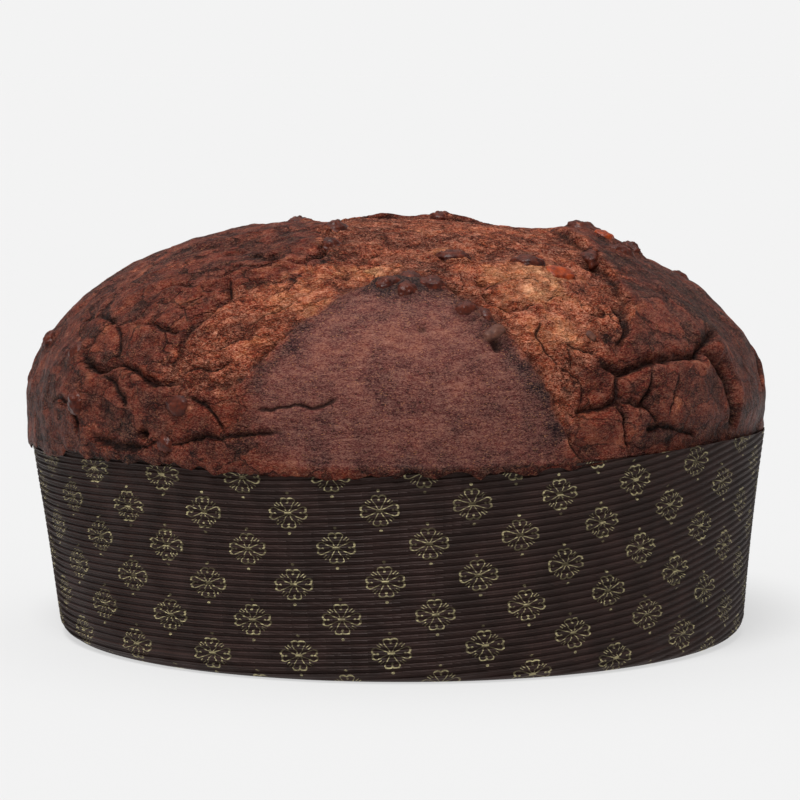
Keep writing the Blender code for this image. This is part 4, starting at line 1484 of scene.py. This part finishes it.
@dataclass
class FruitPieces:
    """Raisins and candied peel that show in the crust, one joined mesh for each kind."""

    relief: CrustRelief
    rounds: int = 3

    def piece(self, fruit: Fruit, index: int) -> tuple[np.ndarray, np.ndarray]:
        """Shape one piece of fruit.

        Args:
            fruit: Its kind, place and size.
            index: Its number, which sets its lumps and wrinkles.

        Returns:
            Its points and its triangles.
        """
        foot, up = self.relief.foot_of(fruit.right, fruit.forward)
        turn = math.radians(fruit.turn)
        side = Vector((math.cos(turn), math.sin(turn), 0.0))
        side = (side - up * side.dot(up)).normalized()
        across = up.cross(side)
        height = 0.8 * fruit.width * MM
        centre = foot + up * height * (0.42 - fruit.sunk)
        bm = bmesh.new()
        bmesh.ops.create_icosphere(bm, subdivisions=self.rounds + 1, radius=0.5)
        unit = np.array([v.co for v in bm.verts])
        faces = np.array([[v.index for v in f.verts] for f in bm.faces])
        bm.free()
        seed = 11.3 * index
        if fruit.kind is FruitKind.RAISIN:
            folds = np.array([abs(noise.noise(Vector(p) * 5.0 + Vector((seed, 0, 0)))) for p in unit])
            lumps = np.array([noise.noise(Vector(p) * 2.2 + Vector((0, seed, 0))) for p in unit])
            shape = unit * (0.93 + 0.16 * lumps + 0.3 * folds)[:, None]
        else:
            box = unit / np.maximum(np.abs(unit).max(axis=1, keepdims=True), 1e-9) * 0.42
            lumps = np.array([noise.noise(Vector(p) * 3.0 + Vector((0, seed, 0))) for p in unit])
            shape = (0.55 * unit + 0.45 * box) * (1.0 + 0.18 * lumps)[:, None]
        local = shape * np.array((fruit.length * MM, fruit.width * MM, height))
        frame = np.array((side, across, up))
        return local @ frame + np.array(centre), faces

    def build(self) -> dict[FruitKind, bpy.types.Object]:
        """Build one mesh for each kind of fruit.

        Returns:
            The joined mesh of each kind.
        """
        made = {}
        for kind in FruitKind:
            points = []
            faces = []
            count = 0
            for index, fruit in enumerate(FRUIT):
                if fruit.kind is kind:
                    shape, triangles = self.piece(fruit, index)
                    points.append(shape)
                    faces.append(triangles + count)
                    count += len(shape)
            made[kind] = mesh_object(f"{kind.value}_pieces", np.vstack(points), np.vstack(faces))
        return made

    @staticmethod
    def dress(made: dict[FruitKind, bpy.types.Object]) -> None:
        """Give each kind its finish and its body.

        Args:
            made: The joined mesh of each kind.
        """
        for kind, item in made.items():
            item.data.materials.append(FRUIT_FINISHES[kind].build())
            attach(item, "root")


@dataclass
class PaperCase:
    """The fluted paper case, from its flat underside up its wall and down inside."""

    form: CaseForm
    sides: int = 280
    rows_per_flute: int = 11
    flute_pitch: float = 2.05 * MM
    flute_depth: float = 0.9 * MM
    paper: float = 0.35 * MM
    fold_height: float = 6.5 * MM
    # Bearing and spread, in degrees, of the two folds pressed in above the foot.
    foot_folds: tuple[tuple[float, float], ...] = ((318.0, 26.0), (50.0, 22.0))
    # Column of the wall where the strip's ends overlap, at the back.
    seam_column: int = 140
    seam_overlap: float = 0.3 * MM
    # The fluted strip climbs to the right: azimuth in degrees and climb in millimetres.
    strip_climb: tuple[tuple[float, float], ...] = (
        (-60.0, 0.0), (-45.0, 0.2), (-28.0, 0.7), (0.0, 3.2), (25.0, 6.4), (45.0, 10.4),
        (65.0, 16.5), (85.0, 20.0), (110.0, 21.0))
    # It is also laid a little tighter or looser than its true length, in millimetres.
    strip_slack: tuple[tuple[float, float], ...] = (
        (-110.0, 24.0), (-95.0, 22.5), (-75.0, 18.0), (-60.0, 13.6), (-45.0, 9.0), (-28.0, 5.2),
        (0.0, 4.0), (25.0, 2.4), (45.0, 1.0), (65.0, -4.0), (90.0, -6.0))

    @staticmethod
    def track(azimuth: np.ndarray, stops: tuple[tuple[float, float], ...]) -> np.ndarray:
        """Read a smooth curve through stops in degrees and millimetres.

        Args:
            azimuth: Where to read it, in radians from the front, positive to the right.
            stops: The stops, in order.

        Returns:
            The curve's values, in metres.
        """
        # Steps of half a degree, smoothed over 8 degrees each way.
        fine = np.linspace(-260.0, 260.0, 1041)
        values = np.interp(fine, *zip(*stops))
        window = np.exp(-(np.arange(-32, 33) / 16.0) ** 2)
        padded = np.pad(values, 32, mode="edge")
        return MM * np.interp(np.degrees(azimuth), fine,
                              np.convolve(padded, window / window.sum(), mode="valid"))

    def wall_length(self) -> float:
        """Length of the wall up its slope."""
        flare = self.form.rim_radius - self.form.base_radius
        return math.hypot(self.form.rim.level, flare)

    def wall_rings(self) -> tuple[list[np.ndarray], list[np.ndarray], list[np.ndarray]]:
        """Rings from the foot up the wall and down inside.

        Returns:
            The rings' points; at each point the way up the fluted strip, in metres; and how
            much of the flutes' depth it has, from 0 to 1.
        """
        turns = 2.0 * math.pi * np.arange(self.sides) / self.sides
        length = self.wall_length()
        rows = round(length / self.flute_pitch * self.rows_per_flute)
        circle = np.column_stack((np.sin(turns), -np.cos(turns)))
        slow = fractal(circle * 60.0 * MM, 34.0 * MM, 2, 2.0)
        fold = np.clip(sum(np.exp(-((np.degrees(turns) - bearing) / spread) ** 2)
                           for bearing, spread in self.foot_folds), 0.0, 1.0)
        # The strip's outer end lies over its start, where the flutes don't quite meet.
        columns = np.arange(self.sides)
        short = (self.seam_column - columns) % self.sides
        proud = self.seam_overlap * np.exp(-(short / 4.0) ** 2)
        azimuth = np.where(columns > self.seam_column, turns - 2.0 * math.pi, turns)
        lifted = self.track(azimuth, self.strip_climb)
        sag = 0.2 * MM * (1.0 - slow) + self.seam_overlap

        rings = []
        climbs = []
        masks = []
        for row in range(rows + 1):
            share = row / rows
            climb = share * length
            inset = np.zeros(self.sides)
            if climb < self.form.corner:
                drop = 1.0 - climb / self.form.corner
                inset += self.form.corner * (1.0 - math.sqrt(max(0.0, 1.0 - drop ** 2)))
            inset += (sag - proud) * math.sin(math.pi * share)
            crease = math.exp(-((climb - self.fold_height) / (1.0 * MM)) ** 2)
            inset += 0.7 * MM * crease * fold
            rings.append(self.form.point(turns, share, inset))
            climbs.append(climb - lifted)
            masks.append(min(1.0, climb / (2.0 * MM)) * (1.0 - 0.4 * crease * fold))
        inner_gap = self.flute_depth + self.paper
        rings.append(self.form.point(turns, 1.0, self.paper))
        for share in (0.985, 0.75, 0.5, 0.25, 0.08):
            inset = inner_gap + sag * math.sin(math.pi * share)
            rings.append(self.form.point(turns, share, inset))
        floor_radius = self.form.base_radius - self.form.corner - self.form.wall
        rings.append(np.column_stack((floor_radius * circle, np.full(self.sides, self.form.floor))))
        spare = len(rings) - len(climbs)
        climbs += [np.full(self.sides, length)] * spare
        masks += [np.zeros(self.sides)] * spare
        return rings, climbs, masks

    def build_wall(self) -> bpy.types.Object:
        """Build the plain wall, rim, inside and floor, before the flutes are pressed in.

        Returns:
            The plain wall, with what the flutes and print need.
        """
        rings, climbs, masks = self.wall_rings()
        points = np.vstack(rings)
        index = np.arange(len(points)).reshape(len(rings), self.sides)
        right = np.roll(index, -1, axis=1)
        quads = np.stack((index[:-1], right[:-1], right[1:], index[1:]), axis=-1).reshape(-1, 4)
        count = len(points)
        ends = np.array(((0.0, 0.0, 0.0), (0.0, 0.0, self.form.floor)))
        faces = [tuple(q) for q in quads]
        faces += [(right[0][i], index[0][i], count) for i in range(self.sides)]
        faces += [(index[-1][i], right[-1][i], count + 1) for i in range(self.sides)]
        item = mesh_object("paper_case_wall", np.vstack((points, ends)), faces)
        turn_outwards(item)
        store(item, "climb", np.concatenate((*climbs, (0.0, 0.0))))
        store(item, "fluted", np.concatenate((*masks, (0.0, 0.0))))
        self.lay_print_map(item, points)
        return item

    def lay_print_map(self, item: bpy.types.Object, points: np.ndarray) -> None:
        """Lay the printed strip round the wall from the seam, in metres.

        Args:
            item: The plain wall.
            points: Its points, without the two at its middle.
        """
        mesh = item.data
        layer = mesh.uv_layers.new(name="print_map")
        corner = np.empty(len(mesh.loops), dtype=np.int32)
        mesh.loops.foreach_get("vertex_index", corner)
        starts = np.empty(len(mesh.polygons), dtype=np.int32)
        totals = np.empty(len(mesh.polygons), dtype=np.int32)
        mesh.polygons.foreach_get("loop_start", starts)
        mesh.polygons.foreach_get("loop_total", totals)
        owner = np.repeat(np.arange(len(starts)), totals)
        # Columns are counted back from the seam, so a face that ends on it stays whole.
        column = (corner % self.sides - self.seam_column).astype(float)
        column = np.where(column > 0, column - self.sides, column)
        lowest = np.full(len(starts), np.inf)
        np.minimum.at(lowest, owner, column)
        crossing = (column == 0) & (lowest[owner] < -1.5)
        column = np.where(crossing, column - self.sides, column)
        azimuth = (column + self.seam_column) * 2.0 * math.pi / self.sides
        up = np.append(points[:, 2], (0.0, 0.0))[corner] * self.wall_length() / self.form.rim.level
        radius = self.form.base_radius + (self.form.rim_radius - self.form.base_radius) * (
            up / self.wall_length())
        lifted = self.track(azimuth, self.strip_climb)
        lean = (self.track(azimuth + 0.02, self.strip_climb) - lifted) / (0.02 * radius)
        along = azimuth * radius + self.track(azimuth, self.strip_slack)
        along += (up - 30.0 * MM) * lean
        strip = np.column_stack((along, up - lifted))
        layer.data.foreach_set("uv", strip.astype(np.float32).ravel())

    def flute_tree(self, material: bpy.types.Material) -> bpy.types.NodeTree:
        """Build the node tree that presses horizontal flutes into the wall.

        Args:
            material: The paper.

        Returns:
            A geometry tree with named inputs for the flutes' sizes.
        """
        tree = bpy.data.node_groups.new("press_flutes", "GeometryNodeTree")
        add = partial(add_node, tree)
        face = tree.interface
        face.new_socket("Geometry", in_out="INPUT", socket_type="NodeSocketGeometry")
        for name, value in (("Flute Pitch", self.flute_pitch), ("Flute Depth", self.flute_depth),
                            ("Wander", 0.5 * MM), ("Wander Size", 30.0 * MM)):
            face.new_socket(name, in_out="INPUT", socket_type="NodeSocketFloat").default_value = value
        face.new_socket("Geometry", in_out="OUTPUT", socket_type="NodeSocketGeometry")
        start = add("NodeGroupInput").outputs
        climb = add("GeometryNodeInputNamedAttribute", {"Name": "climb"}, data_type="FLOAT")
        fluted = add("GeometryNodeInputNamedAttribute", {"Name": "fluted"}, data_type="FLOAT")
        place = add("GeometryNodeInputPosition")
        grain = add(MATH, {0: 1.0, 1: start["Wander Size"]}, operation="DIVIDE")
        uneven = add(NOISE, {"Vector": place, "Scale": grain, "Detail": 3.0})
        centred = add(MATH, {0: uneven, 1: 0.5}, operation="SUBTRACT")
        bent = weigh(add, climb, (centred, start["Wander"]))
        count = add(MATH, {0: bent, 1: start["Flute Pitch"]}, operation="DIVIDE")
        phase = add(MATH, {0: count, 1: 2.0 * math.pi}, operation="MULTIPLY")
        wave = add(MATH, {0: phase}, operation="COSINE")
        # Each flute is a broad crest with a shallow dent along its middle.
        crest = add(RANGE, {"Value": wave, "From Min": -0.75, "From Max": 0.5},
                    interpolation_type="SMOOTHSTEP")
        dent = add(RANGE, {"Value": wave, "From Min": 0.4, "From Max": 1.0, "To Max": 0.36},
                   interpolation_type="SMOOTHSTEP")
        shape = add(MATH, {0: crest, 1: dent}, operation="SUBTRACT")
        sunk = add(MATH, {0: shape, 1: 1.0}, operation="SUBTRACT")
        pressed = add(MATH, {0: sunk, 1: start["Flute Depth"]}, operation="MULTIPLY")
        held = add(MATH, {0: pressed, 1: fluted}, operation="MULTIPLY")
        level = add(VECTOR, {0: place, 1: (1.0, 1.0, 0.0)}, operation="MULTIPLY")
        outward = add(VECTOR, {0: level}, operation="NORMALIZE")
        move = add(VECTOR, {0: outward, "Scale": held}, operation="SCALE")
        moved = add("GeometryNodeSetPosition", {"Geometry": start["Geometry"], "Offset": move})
        kept = add("GeometryNodeStoreNamedAttribute",
                   {"Geometry": moved, "Name": "crest", "Value": crest}, data_type="FLOAT")
        real = add("GeometryNodeRealizeInstances", {"Geometry": kept})
        painted = add("GeometryNodeSetMaterial", {"Geometry": real, "Material": material})
        add("NodeGroupOutput", {"Geometry": painted})
        return tree

    def build(self) -> bpy.types.Object:
        """Build the case with its flutes as one plain mesh.

        Returns:
            The case.
        """
        material = PaperFinish().build()
        wall = self.build_wall()
        press = wall.modifiers.new("flutes", "NODES")
        press.node_group = self.flute_tree(material)
        shaped = wall.evaluated_get(bpy.context.evaluated_depsgraph_get())
        mesh = bpy.data.meshes.new_from_object(shaped)
        mesh.name = "paper_case_sheet"
        wall.modifiers.remove(press)
        item = bpy.data.objects.new("paper_case_sheet", mesh)
        bpy.context.scene.collection.objects.link(item)
        bpy.data.objects.remove(wall, do_unlink=True)
        mesh.shade_smooth()
        mesh.set_sharp_from_angle(angle=math.radians(65.0))
        return item

    @staticmethod
    def dress(item: bpy.types.Object) -> None:
        """Give the case its body and its place in the frame.

        Args:
            item: The case.
        """
        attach(item, "root")
        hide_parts("paper_case")


@dataclass(frozen=True)
class FloorFinish:
    """A pale seamless sheet, bright by itself, that takes only a soft shadow from the loaf."""

    tone: str = "#f3f3f3"
    albedo: float = 0.2

    def build(self, lit: float) -> bpy.types.Material:
        """Build the material.

        Args:
            lit: Light that a white open floor would send back, which the glow makes room for.

        Returns:
            The material.
        """
        material, tree = new_material("pale_studio_floor")
        add = partial(add_node, tree)
        sheet = add("ShaderNodeBsdfDiffuse", {"Color": (self.albedo,) * 3 + (1.0,)})
        glow = add("ShaderNodeEmission", {"Color": (1.0, 1.0, 1.0, 1.0),
                                          "Strength": linear(self.tone)[0] - self.albedo * lit})
        both = add("ShaderNodeAddShader", {0: sheet, 1: glow})
        add("ShaderNodeOutputMaterial", {"Surface": both})
        return material


@dataclass(frozen=True)
class SoftSun:
    """A broad far light: the way it comes from, how wide it looks, and its strength."""

    name: str
    comes_from: tuple[float, float, float]
    width: float
    strength: float

    def build(self) -> None:
        """Hang the light."""
        data = bpy.data.lights.new(self.name, "SUN")
        data.angle = math.radians(self.width)
        data.energy = self.strength
        lamp = bpy.data.objects.new(self.name, data)
        lamp.rotation_euler = Vector(self.comes_from).to_track_quat("Z", "Y").to_euler()
        bpy.context.scene.collection.objects.link(lamp)

    def on_floor(self) -> float:
        """Light that a white floor sends back from this lamp."""
        way = Vector(self.comes_from).normalized()
        return max(0.0, way.z) * self.strength / math.pi


@dataclass
class Studio:
    """The pale floor, the soft light and the camera at the photograph's viewpoint."""

    backdrop: str = "#f3f3f3"
    room: float = 0.32
    lights: tuple[SoftSun, ...] = (
        SoftSun("front_softbox", (-0.15, -0.5, 1.0), 24.0, 2.9),
        SoftSun("top_softbox", (-0.1, 0.15, 1.0), 70.0, 1.1),
        SoftSun("left_softbox", (-1.0, -0.25, 0.35), 40.0, 0.2),
        SoftSun("right_softbox", (1.0, -0.25, 0.35), 40.0, 0.1),
    )
    camera_place: tuple[float, float, float] = (0.0, -1.0482, 0.1711)
    camera_aim: tuple[float, float, float] = (-0.0007, 0.0, 0.0683)
    focal_px: float = 3502.0
    frame_px: float = 800.0
    sensor: float = 36.0

    def build_floor(self) -> None:
        """Lay the floor."""
        reach = 30.0
        corners = np.array(((-reach, -reach, 0.0), (reach, -reach, 0.0),
                            (reach, reach, 0.0), (-reach, reach, 0.0)))
        floor = mesh_object("studio_floor", corners, [(0, 1, 2, 3)])
        lit = self.room + sum(light.on_floor() for light in self.lights)
        floor.data.materials.append(FloorFinish().build(lit))

    def build_world(self) -> None:
        """Light the room softly from all round, and show a plain pale backdrop."""
        world = bpy.data.worlds.new("studio_room")
        world.use_nodes = True
        tree = world.node_tree
        tree.nodes.clear()
        add = partial(add_node, tree)
        seen = add("ShaderNodeBackground", {"Color": linear(self.backdrop)})
        room = add("ShaderNodeBackground", {"Color": (1.0, 1.0, 1.0, 1.0), "Strength": self.room})
        path = add("ShaderNodeLightPath")
        both = add("ShaderNodeMixShader", {0: path.outputs["Is Camera Ray"], 1: room, 2: seen})
        add("ShaderNodeOutputWorld", {"Surface": both})
        bpy.context.scene.world = world

    def build_camera(self) -> None:
        """Set the camera where the photograph was taken from."""
        data = bpy.data.cameras.new("photo_view")
        data.sensor_width = self.sensor
        data.sensor_fit = "HORIZONTAL"
        data.lens = self.sensor * self.focal_px / self.frame_px
        data.clip_start = 0.05
        data.clip_end = 100.0
        camera = bpy.data.objects.new("photo_view", data)
        camera.location = self.camera_place
        look = Vector(self.camera_aim) - Vector(self.camera_place)
        camera.rotation_euler = look.to_track_quat("-Z", "Y").to_euler()
        bpy.context.scene.collection.objects.link(camera)
        bpy.context.scene.camera = camera

    def build(self) -> None:
        """Build the whole studio."""
        self.build_floor()
        self.build_world()
        for light in self.lights:
            light.build()
        self.build_camera()
        bpy.context.scene.view_settings.view_transform = "Standard"


def main() -> None:
    """Build the pieces round the frame and report each one."""
    logging.basicConfig(level=logging.INFO, format="%(name)s: %(message)s")
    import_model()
    Studio().build()

    form = CaseForm()
    case = PaperCase(form)
    sheet = case.build()
    case.dress(sheet)
    LOG.info("paper case: %d faces", len(sheet.data.polygons))

    loaf = Loaf(Crown(), form)
    crust = loaf.build()
    loaf.dress(crust)
    LOG.info("loaf: %d faces", len(crust.data.polygons))

    fruit = FruitPieces(loaf.relief)
    made = fruit.build()
    fruit.dress(made)
    for kind, item in made.items():
        LOG.info("%s: %d faces", kind.value, len(item.data.polygons))


if __name__ == "__main__":
    main()
